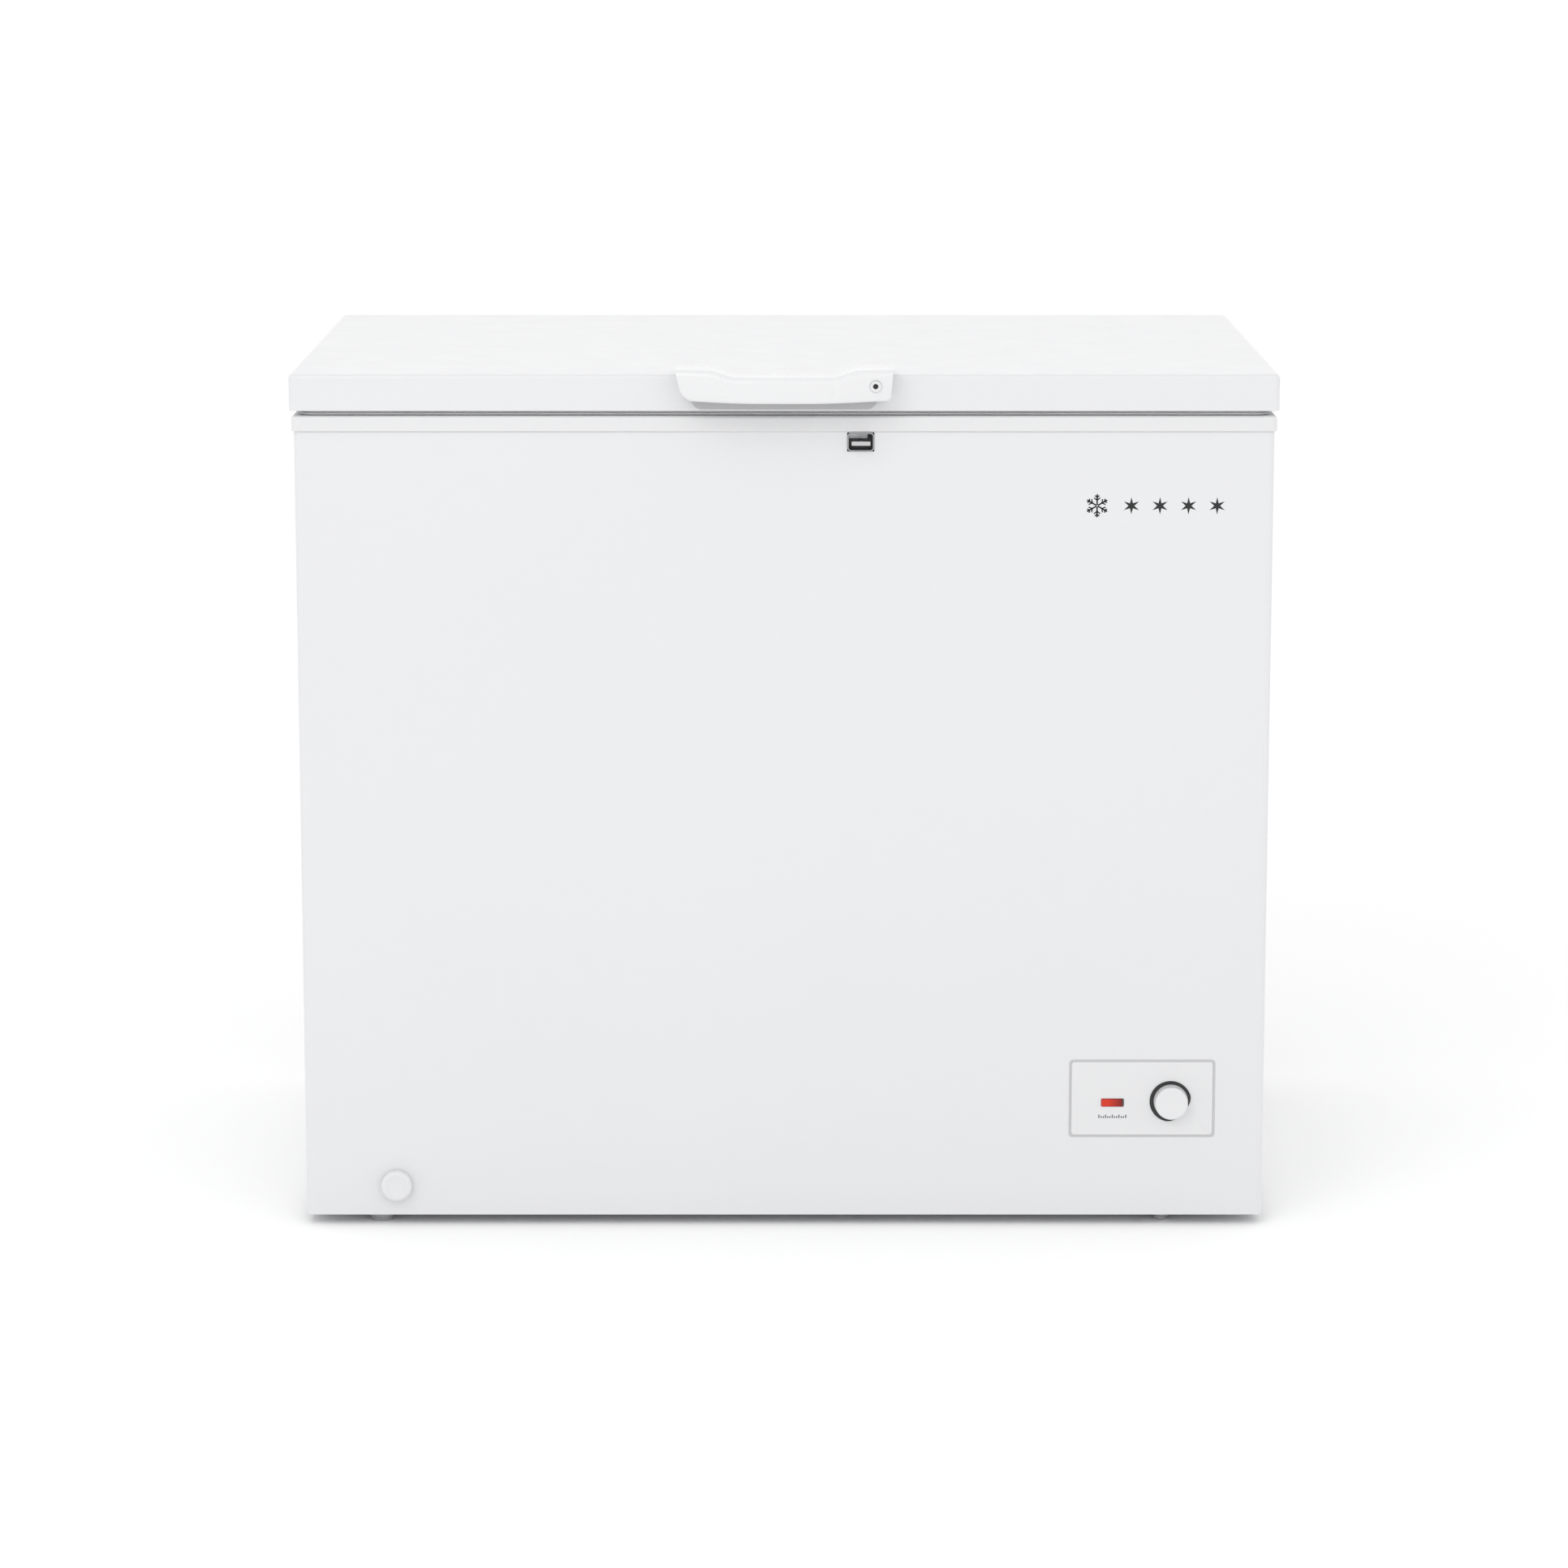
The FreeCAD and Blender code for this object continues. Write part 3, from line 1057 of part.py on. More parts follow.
def handle():
    """Hood with a bowed front, open below, with an ear at each end over the lid."""
    half = "size.handle_width / 2"
    front, top = "place.lid_front", "size.lid_top"
    low, high = f"{top} - size.handle_drop", f"{top} + size.ear_rise"
    block = box("handle_block", (f"-{half}", half), ("place.handle_front", f"{front} + size.ear_depth"),
                (low, high))
    bow = rod("handle_bow", "0", "place.handle_front + place.bow_radius", low, "up",
              "size.handle_drop + size.ear_rise", "place.bow_radius")
    outer = common("handle_outer", block, bow)
    lid_room = box("lid_room", (f"-{half}", half), (front, f"{front} + size.ear_depth"), (low, top))
    flat = f"({half} - size.ear_width - size.ear_slope)"
    saddle = prism("handle_saddle", "XZ", [[
        (f"-{flat}", top), (flat, top), (f"{flat} + size.ear_slope", high),
        (f"{flat} + size.ear_slope", f"{high} + 1"), (f"-{flat} - size.ear_slope", f"{high} + 1"),
        (f"-{flat} - size.ear_slope", high),
    ]], "place.handle_front - 1", f"{front} + size.ear_depth + 1")
    wall = "size.handle_wall"
    room = box("grip_room", (f"-{half} + {wall}", f"{half} - {wall}"),
               (f"place.handle_front + {wall}", front), (f"{low} - 1", f"{top} - {wall}"))
    room_bow = rod("grip_bow", "0", "place.handle_front + place.bow_radius", f"{low} - 1", "up",
                   "size.handle_drop + size.ear_rise", f"place.bow_radius - {wall}")
    grip = common("grip", room, room_bow)
    bore = rod("barrel_bore", "place.lock_x", "place.handle_front - 1", "place.lock_z", "back",
               "size.handle_reach", "size.barrel_radius + size.pin_clearance")
    hub = "(size.cam_hub + size.hub_gap)"
    relief = box("hub_relief", (f"place.lock_x - {hub}", f"place.lock_x + {hub}"),
                 ("place.cam_front - size.hub_gap", front),
                 (f"{top} - {wall} - 1", f"place.lock_z + {hub}"))
    node("handle", cut("handle", outer, [lid_room, saddle, grip, bore, relief]))

    plate_half = "size.grip_plate_width / 2"
    base = prism("handle_base", "XZ", [
        rect(f"-{plate_half}", plate_half, f"{top} - size.grip_plate_drop",
             f"{top} - {wall} - size.grip_plate_gap")],
        f"{front} - size.grip_plate_thickness", front)
    far = place.far
    lowest = sheet.lid_top - sheet.grip_plate_drop + 1
    fillet(base, "size.grip_plate_corner",
           within((-far, -far, 0), (far, far, lowest), along(Vector(0, 1, 0))))
    face = f"{front} - size.grip_plate_thickness"
    spots = [(f"{across}", f"{top} - size.handle_screw_drop") for across in HANDLE_SCREWS]
    screw_holes(base, spots, f"{face} - 1", f"{front} + 1")
    node("handle_base", base)
    screws = [screw(f"handle_screw_{step}", (x, face, z), "front", "size.grip_plate_thickness")
              for step, (x, z) in enumerate(spots)]
    node("handle_screws", group("handle_screws", screws))


def key_lock():
    """Key barrel in the hood and the hooked cam that swings down to the catch."""
    barrel = rod("barrel_body", "place.lock_x", "place.cam_front", "place.lock_z", "front",
                 "place.cam_front - place.lock_face + size.barrel_proud", "size.barrel_radius")
    slot = box("key_slot", ("place.lock_x - size.key_slot_half", "place.lock_x + size.key_slot_half"),
               ("place.handle_front", "place.handle_front + size.key_slot_depth"),
               ("place.lock_z - size.key_slot_rise", "place.lock_z + size.key_slot_rise"))
    node("lock_barrel", cut("lock_barrel", barrel, [slot]))
    reach, wide = "place.cam_reach", "size.cam_width / 2"
    notch = "(size.stud_radius + size.notch_gap)"
    tip = f"-({reach} + {notch} + size.cam_tip)"
    cam = prism("lock_cam", "XZ", [[
        ("0", f"-{wide}"), ("0", wide), (tip, wide), (tip, f"-{wide}"),
        (f"-{reach} - {notch}", f"-{wide}"), (f"-{reach} - {notch}", f"{notch}"),
        (f"-{reach} + {notch}", f"{notch}"), (f"-{reach} + {notch}", f"-{wide}"),
    ]], "-size.cam_thickness", "0")
    pad(cam, "XZ", [("circle", "0", "0", "size.cam_hub")], "-size.cam_thickness", "0")
    cam.Placement = Placement(Vector(), Rotation(Vector(0, 1, 0), -sheet.cam_tilt))
    for axis, value in zip("xyz", ("place.lock_x", "place.cam_back", "place.lock_z")):
        cam.setExpression(f"Placement.Base.{axis}", value)
    node("lock_cam", cam)


# ---- basket -----------------------------------------------------------------------

def grille(name, role, u, v, low, high, bars_u, bars_v):
    """Flat welded grid: a frame and the windows between its wires."""
    wire = "size.basket_wire"
    loops = [rect(u[0], u[1], v[0], v[1])]
    for column in range(bars_u):
        for row in range(bars_v):
            loops.append(rect(
                f"{u[0]} + {wire} + (({u[1]}) - ({u[0]}) - {wire}) * {column} / {bars_u}",
                f"{u[0]} + (({u[1]}) - ({u[0]}) - {wire}) * {column + 1} / {bars_u}",
                f"{v[0]} + {wire} + (({v[1]}) - ({v[0]}) - {wire}) * {row} / {bars_v}",
                f"{v[0]} + (({v[1]}) - ({v[0]}) - {wire}) * {row + 1} / {bars_v}"))
    return prism(name, role, loops, low, high)


def basket():
    """Wire basket that hangs by two rails on the collar's ledge and slides along it."""
    x0, x1, y0, y1 = "place.basket_x0", "place.basket_x1", "place.basket_y0", "place.basket_y1"
    z0, z1, wire = "place.basket_z0", "place.basket_z1", "size.basket_wire"
    rail_base = "place.ledge + size.clearance"
    pieces = []
    for label, low, high in (("left", x0, f"{x0} + {wire}"), ("right", f"{x1} - {wire}", x1)):
        side = grille(f"basket_{label}", "YZ", (f"{y0} + {wire}", f"{y1} - {wire}"), (z0, z1),
                      low, high, *BASKET_BARS["ends"])
        pieces.append(side)
    for label, low, high, hook in (
        ("front", y0, f"{y0} + {wire}", "place.mouth_front - size.ledge_width + size.rail_gap"),
        ("rear", f"{y1} - {wire}", y1, "place.mouth_rear + size.ledge_width - size.rail_gap"),
    ):
        face = grille(f"basket_{label}", "XZ", (x0, x1), (z0, z1), low, high, *BASKET_BARS["faces"])
        inner, outer = (hook, high) if label == "front" else (low, hook)
        pad(face, "XY", [rect(x0, x1, low, high)], z1, f"{rail_base} + size.basket_rail")
        pad(face, "XY", [rect(x0, x1, inner, outer)], rail_base, f"{rail_base} + size.basket_rail")
        pieces.append(face)
    floor = grille("basket_floor", "XY", (f"{x0} + {wire}", f"{x1} - {wire}"),
                   (f"{y0} + {wire}", f"{y1} - {wire}"), z0, f"{z0} + {wire}", *BASKET_BARS["floor"])
    node("basket", group("basket", [floor] + pieces))


# ---- build, check and write -------------------------------------------------------

def build():
    fill_sheet()
    for make in (cabinet_shell, insulation, tub, collar, evaporator, condenser, compressor, drain,
                 control_panel, lock_catch, feet, bay_covers, hinges, lid, handle, key_lock, basket):
        make()
    doc.recompute()


def check():
    """Stop if any object failed or any sub-part is empty or broken."""
    for item in doc.Objects:
        if "Invalid" in item.State or "Error" in item.State:
            raise RuntimeError(f"{item.Name} failed: {item.State}")
    for label, piece in nodes.items():
        if piece.Shape.isNull() or not piece.Shape.isValid() or not piece.Shape.Solids:
            raise RuntimeError(f"{label} has no sound shape")


def write():
    os.makedirs("parts", exist_ok=True)
    for label, piece in nodes.items():
        piece.Shape.exportStep(f"parts/{label}.step")
        print(f"{label}: {len(piece.Shape.Solids)} solid(s), {piece.Shape.Volume / 1000:.1f} cm3")


build()
check()
write()
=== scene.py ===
"""Chest freezer: finished pieces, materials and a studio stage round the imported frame."""

import json
from math import cos, pi, radians, sin, sqrt

import bmesh
import bpy
from bpy.props import FloatProperty, FloatVectorProperty, IntProperty, PointerProperty
from mathutils import Euler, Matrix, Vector


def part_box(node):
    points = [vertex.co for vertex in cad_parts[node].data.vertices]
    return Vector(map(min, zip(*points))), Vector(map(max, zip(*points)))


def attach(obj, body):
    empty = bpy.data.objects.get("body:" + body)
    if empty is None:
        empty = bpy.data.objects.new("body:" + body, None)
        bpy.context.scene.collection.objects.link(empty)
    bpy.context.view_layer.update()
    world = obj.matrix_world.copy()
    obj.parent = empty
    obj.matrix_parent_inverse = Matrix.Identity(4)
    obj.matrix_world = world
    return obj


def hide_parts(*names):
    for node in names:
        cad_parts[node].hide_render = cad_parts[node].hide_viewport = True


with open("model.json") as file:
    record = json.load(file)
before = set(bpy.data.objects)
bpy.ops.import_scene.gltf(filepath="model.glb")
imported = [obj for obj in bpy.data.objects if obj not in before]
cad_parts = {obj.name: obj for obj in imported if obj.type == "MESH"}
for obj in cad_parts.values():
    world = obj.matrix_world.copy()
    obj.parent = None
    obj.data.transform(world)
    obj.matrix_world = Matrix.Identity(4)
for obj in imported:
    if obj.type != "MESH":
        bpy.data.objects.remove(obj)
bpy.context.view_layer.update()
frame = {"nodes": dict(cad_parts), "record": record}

bl_info = {
    "name": "Chest freezer",
    "version": (1, 0, 0),
    "blender": (4, 5, 0),
    "location": "View3D > Sidebar > Freezer",
    "description": "Finished pieces and materials for a chest freezer",
    "category": "Object",
}

# ---- places, all read from the frame ----------------------------------------------

LID_LOW, LID_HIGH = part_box("lid_skin")
COLLAR_LOW, COLLAR_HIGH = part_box("top_collar")
HOOD_LOW, HOOD_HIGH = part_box("handle")
LINER_LOW, LINER_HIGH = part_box("inner_liner")
FACIA_LOW, FACIA_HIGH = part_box("control_panel")
KNOB_LOW, KNOB_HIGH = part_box("thermostat_knob")
LENS_LOW, LENS_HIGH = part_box("indicator_lens")
COVER_LOW, COVER_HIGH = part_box("rear_cover")
GRILLE_LOW, GRILLE_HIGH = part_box("side_grille")
BASKET_LOW, BASKET_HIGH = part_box("basket")
BARREL_LOW, BARREL_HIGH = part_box("lock_barrel")
CATCH_LOW, CATCH_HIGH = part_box("catch_frame")

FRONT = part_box("outer_wrap")[0].y
TINY = 0.00002
CORNER_STEPS = 8
SMOOTH = radians(35)
WELD = 0.000002
STILL = (0, 0, 0)
BACKWARD = (0, 1, 0)
FORWARD = (0, -1, 0)
UPWARD = (0, 0, 1)


def middle(low, high):
    """The point halfway between two corners."""
    return (low + high) / 2


# ---- settings a user would change --------------------------------------------------


class FreezerSizes(bpy.types.PropertyGroup):
    """Sizes of the finished details, in metres."""

    sheet: FloatProperty(
        name="Sheet", description="Thickness of the painted sheet", default=0.0008, unit="LENGTH")
    lid_corner: FloatProperty(
        name="Lid corner", description="Radius of the lid's upright corners", default=0.006,
        unit="LENGTH")
    lid_edge: FloatProperty(
        name="Lid edge", description="Radius of the lid's top edge", default=0.0038, unit="LENGTH")
    collar_edge: FloatProperty(
        name="Collar edge", description="Radius of the collar's top edge", default=0.003,
        unit="LENGTH")
    mouth_corner: FloatProperty(
        name="Mouth corner", description="Corner radius of the mouth of the tub", default=0.025,
        unit="LENGTH")
    hood_wall: FloatProperty(
        name="Hood wall", description="Wall of the handle's hood", default=0.0035, unit="LENGTH")
    hood_edge: FloatProperty(
        name="Hood edge", description="Radius of the hood's front edge", default=0.006,
        unit="LENGTH")
    knob_edge: FloatProperty(
        name="Knob edge", description="Radius of the knob's rim", default=0.0018, unit="LENGTH")
    frame_wire: FloatProperty(
        name="Frame wire", description="Thickness of the basket's frame wires", default=0.0044,
        unit="LENGTH")
    mesh_wire: FloatProperty(
        name="Mesh wire", description="Thickness of the basket's mesh wires", default=0.0028,
        unit="LENGTH")
    wires_across: IntProperty(
        name="Wires across", description="Mesh wires side by side along the basket", default=9)
    wires_along: IntProperty(
        name="Wires along", description="Mesh wires from front to rear", default=17)
    mark_height: FloatProperty(
        name="Mark height", description="Height of the printed cold symbols", default=0.02,
        unit="LENGTH")


class FreezerColours(bpy.types.PropertyGroup):
    """Main colours of the finishes."""

    paint: FloatVectorProperty(
        name="Paint", description="Powder coat of the cabinet and lid", subtype="COLOR",
        default=(0.704, 0.707, 0.719))
    plastic: FloatVectorProperty(
        name="Plastic", description="White moulded parts", subtype="COLOR",
        default=(0.708, 0.710, 0.717))
    # The lens colours are a painted glow and painted shade: they stand in for the light of the lamp
    # behind the lens.
    painted_lens_glow: FloatVectorProperty(
        name="Lamp bright", description="Lit end of the indicator lens", subtype="COLOR",
        default=(0.60, 0.040, 0.018))
    painted_lens_unlit: FloatVectorProperty(
        name="Lamp dark", description="Unlit end of the indicator lens", subtype="COLOR",
        default=(0.20, 0.015, 0.012))
    print_ink: FloatVectorProperty(
        name="Print", description="Ink of the printed symbols", subtype="COLOR",
        default=(0.008, 0.008, 0.009))


def sizes():
    """The scene's sizes group."""
    return bpy.context.scene.freezer_sizes


def colours():
    """The scene's colours group."""
    return bpy.context.scene.freezer_colours


# ---- shader groups -------------------------------------------------------------------


def new_node(tree, kind, **settings):
    """A node in a tree, with its properties set."""
    made = tree.nodes.new(kind)
    for name, value in settings.items():
        setattr(made, name, value)
    return made


def link(tree, source, target):
    """Link an output socket to an input socket."""
    tree.links.new(source, target)


def join(tree, *rows):
    """Make several links, each given as (from node, output, to node, input)."""
    for source, output, target, entry in rows:
        link(tree, source.outputs[output], target.inputs[entry])


def split(tree, source):
    """The X, Y and Z of a vector, as named outputs."""
    parts = new_node(tree, "ShaderNodeSeparateXYZ")
    link(tree, source, parts.inputs[0])
    return parts.outputs


def shader_group(name, inputs, outputs):
    """An empty shader group with named sockets; returns it with its two end nodes."""
    group = bpy.data.node_groups.new(name, "ShaderNodeTree")
    for label, kind, value in inputs:
        socket = group.interface.new_socket(name=label, in_out="INPUT", socket_type=kind)
        socket.default_value = value
    for label, kind in outputs:
        group.interface.new_socket(name=label, in_out="OUTPUT", socket_type=kind)
    return group, new_node(group, "NodeGroupInput"), new_node(group, "NodeGroupOutput")


def feed(tree, value, socket):
    """Give a socket a number, or link another socket to it."""
    if isinstance(value, (int, float)):
        socket.default_value = value
    else:
        link(tree, value, socket)


def noise(tree, scale, detail, stretch=(1, 1, 1)):
    """Noise on object coordinates; a scale may be a number or a socket."""
    where = new_node(tree, "ShaderNodeTexCoord")
    turn = new_node(tree, "ShaderNodeMapping")
    turn.inputs["Scale"].default_value = stretch
    cloud = new_node(tree, "ShaderNodeTexNoise")
    join(tree, (where, "Object", turn, "Vector"), (turn, "Vector", cloud, "Vector"))
    cloud.inputs["Detail"].default_value = detail
    feed(tree, scale, cloud.inputs["Scale"])
    return cloud


def texture(tree, kind, scale, **settings):
    """A pattern on object coordinates."""
    where = new_node(tree, "ShaderNodeTexCoord")
    made = new_node(tree, kind, **settings)
    made.inputs["Scale"].default_value = scale
    join(tree, (where, "Object", made, "Vector"))
    return made


def ramp(tree, source, low, high, to_low=0.0, to_high=1.0):
    """Map a value from one range to another, clamped."""
    mapped = new_node(tree, "ShaderNodeMapRange")
    mapped.inputs["From Min"].default_value = low
    mapped.inputs["From Max"].default_value = high
    mapped.inputs["To Min"].default_value = to_low
    mapped.inputs["To Max"].default_value = to_high
    link(tree, source, mapped.inputs["Value"])
    return mapped.outputs["Result"]


def times(tree, first, second):
    """The product of two values, each a socket or a number."""
    product = new_node(tree, "ShaderNodeMath", operation="MULTIPLY")
    feed(tree, first, product.inputs[0])
    feed(tree, second, product.inputs[1])
    return product.outputs[0]


def blend_colour(tree, factor, first, second):
    """Mix two colours, each a socket or a plain colour."""
    mixed = new_node(tree, "ShaderNodeMix", data_type="RGBA")
    link(tree, factor, mixed.inputs["Factor"])
    sockets = [socket for socket in mixed.inputs if socket.type == "RGBA"]
    for value, socket in ((first, sockets[0]), (second, sockets[1])):
        if isinstance(value, bpy.types.NodeSocket):
            link(tree, value, socket)
        else:
            socket.default_value = (*value, 1)
    return [socket for socket in mixed.outputs if socket.type == "RGBA"][0]


def build_tone():
    """Slow change of a colour towards a second one, in soft patches."""
    group, enter, leave = shader_group(
        "soft_tone",
        [("Colour", "NodeSocketColor", (0.8, 0.8, 0.8, 1)),
         ("Shade", "NodeSocketColor", (0.7, 0.7, 0.7, 1)),
         ("Amount", "NodeSocketFloat", 0.3), ("Scale", "NodeSocketFloat", 6.0)],
        [("Colour", "NodeSocketColor")])
    patches = noise(group, enter.outputs["Scale"], 4)
    spread = ramp(group, patches.outputs["Fac"], 0.35, 0.7)
    factor = times(group, spread, enter.outputs["Amount"])
    colour = blend_colour(group, factor, enter.outputs["Colour"], enter.outputs["Shade"])
    link(group, colour, leave.inputs["Colour"])
    return group


def build_grain():
    """Height of a fine moulded or sprayed surface."""
    group, enter, leave = shader_group(
        "fine_grain",
        [("Scale", "NodeSocketFloat", 900.0), ("Waviness", "NodeSocketFloat", 0.3)],
        [("Height", "NodeSocketFloat")])
    fine = noise(group, enter.outputs["Scale"], 2)
    broad = noise(group, 14, 1)
    raised = times(group, broad.outputs["Fac"], enter.outputs["Waviness"])
    total = new_node(group, "ShaderNodeMath", operation="ADD")
    link(group, fine.outputs["Fac"], total.inputs[0])
    link(group, raised, total.inputs[1])
    link(group, total.outputs[0], leave.inputs["Height"])
    return group


def build_dust():
    """Mask of the dust that settles on faces that look up."""
    group, enter, leave = shader_group(
        "settled_dust", [("Amount", "NodeSocketFloat", 0.1)], [("Mask", "NodeSocketFloat")])
    shape = new_node(group, "ShaderNodeNewGeometry")
    upward = ramp(group, split(group, shape.outputs["Normal"])["Z"], 0.4, 1.0)
    specks = ramp(group, noise(group, 60, 6).outputs["Fac"], 0.45, 0.75)
    mask = times(group, times(group, upward, specks), enter.outputs["Amount"])
    link(group, mask, leave.inputs["Mask"])
    return group


def build_wear():
    """Mask of rubbed edges, broken up by noise."""
    group, enter, leave = shader_group(
        "edge_wear", [("Amount", "NodeSocketFloat", 0.2)], [("Mask", "NodeSocketFloat")])
    shape = new_node(group, "ShaderNodeNewGeometry")
    edges = ramp(group, shape.outputs["Pointiness"], 0.53, 0.62)
    broken = ramp(group, noise(group, 140, 5).outputs["Fac"], 0.4, 0.65)
    mask = times(group, times(group, edges, broken), enter.outputs["Amount"])
    link(group, mask, leave.inputs["Mask"])
    return group


GROUPS = {"tone": build_tone, "grain": build_grain, "dust": build_dust, "wear": build_wear}


def placed_group(tree, key, **values):
    """Place one of the shared groups in a material, with its own values."""
    made = GROUPS[key]
    if not isinstance(made, bpy.types.NodeTree):
        made = GROUPS[key] = made()
    holder = new_node(tree, "ShaderNodeGroup", node_tree=made)
    for name, value in values.items():
        holder.inputs[name].default_value = value
    return holder


# ---- finishes ------------------------------------------------------------------------


def finish(name, colour, rough, shade=None, grain=900.0, height=0.00003, tone=0.35,
           tone_scale=6.0, dust=0.0, wear=0.0, worn=(0.45, 0.45, 0.45), pattern=None, **uniform):
    """A Principled finish with toned colour, uneven gloss and a fine surface."""
    material = bpy.data.materials.new(name)
    material.use_nodes = True
    tree = material.node_tree
    shader = tree.nodes["Principled BSDF"]
    dim = shade or tuple(channel * 0.93 for channel in colour)
    base = placed_group(tree, "tone", Colour=(*colour, 1), Shade=(*dim, 1), Amount=tone,
                        Scale=tone_scale).outputs["Colour"]
    gloss = ramp(tree, noise(tree, 25, 5).outputs["Fac"], 0.3, 0.7, rough[0], rough[1])
    fine = placed_group(tree, "grain", Scale=grain).outputs["Height"]
    if pattern:
        base, gloss, fine = pattern(tree, base, gloss, fine)
    if wear:
        mask = placed_group(tree, "wear", Amount=wear).outputs["Mask"]
        base = blend_colour(tree, mask, base, worn)
    if dust:
        mask = placed_group(tree, "dust", Amount=dust).outputs["Mask"]
        base = blend_colour(tree, mask, base, (0.62, 0.60, 0.57))
    bump = new_node(tree, "ShaderNodeBump")
    bump.inputs["Strength"].default_value = 1.0
    bump.inputs["Distance"].default_value = height
    link(tree, fine, bump.inputs["Height"])
    join(tree, (bump, "Normal", shader, "Normal"))
    link(tree, base, shader.inputs["Base Color"])
    link(tree, gloss, shader.inputs["Roughness"])
    for label, value in uniform.items():
        shader.inputs[label.replace("_", " ")].default_value = value
    material.diffuse_color = (*colour, 1)
    return material


def spangle(tree, base, gloss, fine):
    """Crystal flakes of hot-dip zinc."""
    flakes = texture(tree, "ShaderNodeTexVoronoi", 95)
    parts = new_node(tree, "ShaderNodeSeparateColor")
    link(tree, flakes.outputs["Color"], parts.inputs[0])
    bright = ramp(tree, parts.outputs[0], 0, 1, 0.0, 0.5)
    base = blend_colour(tree, bright, base, (0.50, 0.51, 0.53))
    gloss = ramp(tree, parts.outputs[1], 0, 1, 0.30, 0.48)
    return base, gloss, fine


def stucco(tree, base, gloss, fine):
    """Fine embossed pattern rolled into the liner's sheet."""
    pebbles = texture(tree, "ShaderNodeTexVoronoi", 230, feature="SMOOTH_F1")
    return base, gloss, pebbles.outputs["Distance"]


def brushed(tree, base, gloss, fine):
    """Long fine lines left by rolling or drawing."""
    lines = noise(tree, 260, 3, stretch=(0.03, 1, 1))
    gloss = ramp(tree, lines.outputs["Fac"], 0.3, 0.7, 0.22, 0.42)
    return base, gloss, lines.outputs["Fac"]


def laminated(tree, base, gloss, fine):
    """Stack of thin iron sheets."""
    bands = texture(tree, "ShaderNodeTexWave", 320, bands_direction="Z")
    base = blend_colour(tree, bands.outputs["Fac"], (0.06, 0.055, 0.05), base)
    return base, gloss, bands.outputs["Fac"]


def cells(tree, base, gloss, fine):
    """Skin and open cells of poured foam, with painted shade darkening the pits of the cells."""
    bubbles = texture(tree, "ShaderNodeTexVoronoi", 420)
    # painted shade: darker towards the bottom of each pit
    painted_pit_shade = ramp(tree, bubbles.outputs["Distance"], 0.1, 0.7)
    base = blend_colour(tree, painted_pit_shade, (0.55, 0.42, 0.20), base)
    return base, gloss, bubbles.outputs["Distance"]


def tarnish(tree, base, gloss, fine):
    """Darker patches where drawn copper has been handled."""
    patches = ramp(tree, noise(tree, 45, 6).outputs["Fac"], 0.45, 0.7, 0.0, 0.7)
    base = blend_colour(tree, patches, base, (0.28, 0.12, 0.06))
    return base, ramp(tree, patches, 0, 0.7, 0.22, 0.5), fine


def painted_lamp_glow(tree, base, gloss, fine):
    """Red lens with a painted glow: bright where the lamp sits behind it, painted shade darkening it
    towards the far end, and near black at the far edge.
    """
    along = split(tree, new_node(tree, "ShaderNodeTexCoord").outputs["Object"])["X"]
    span = LENS_HIGH.x - LENS_LOW.x
    # painted glow: the lens darkens from its lit end towards its unlit end
    painted_glow_fade = ramp(tree, along, LENS_LOW.x + 0.30 * span, LENS_HIGH.x - 0.06 * span)
    base = blend_colour(tree, painted_glow_fade, base, tuple(colours().painted_lens_unlit))
    # the far edge is painted near black
    edge = ramp(tree, along, LENS_HIGH.x - 0.10 * span, LENS_HIGH.x - 0.04 * span)
    base = blend_colour(tree, edge, base, (0.07, 0.05, 0.05))
    return base, gloss, fine


def white(amount):
    """The moulding's white, lighter or darker by a factor."""
    return tuple(min(channel * amount, 0.95) for channel in colours().plastic)


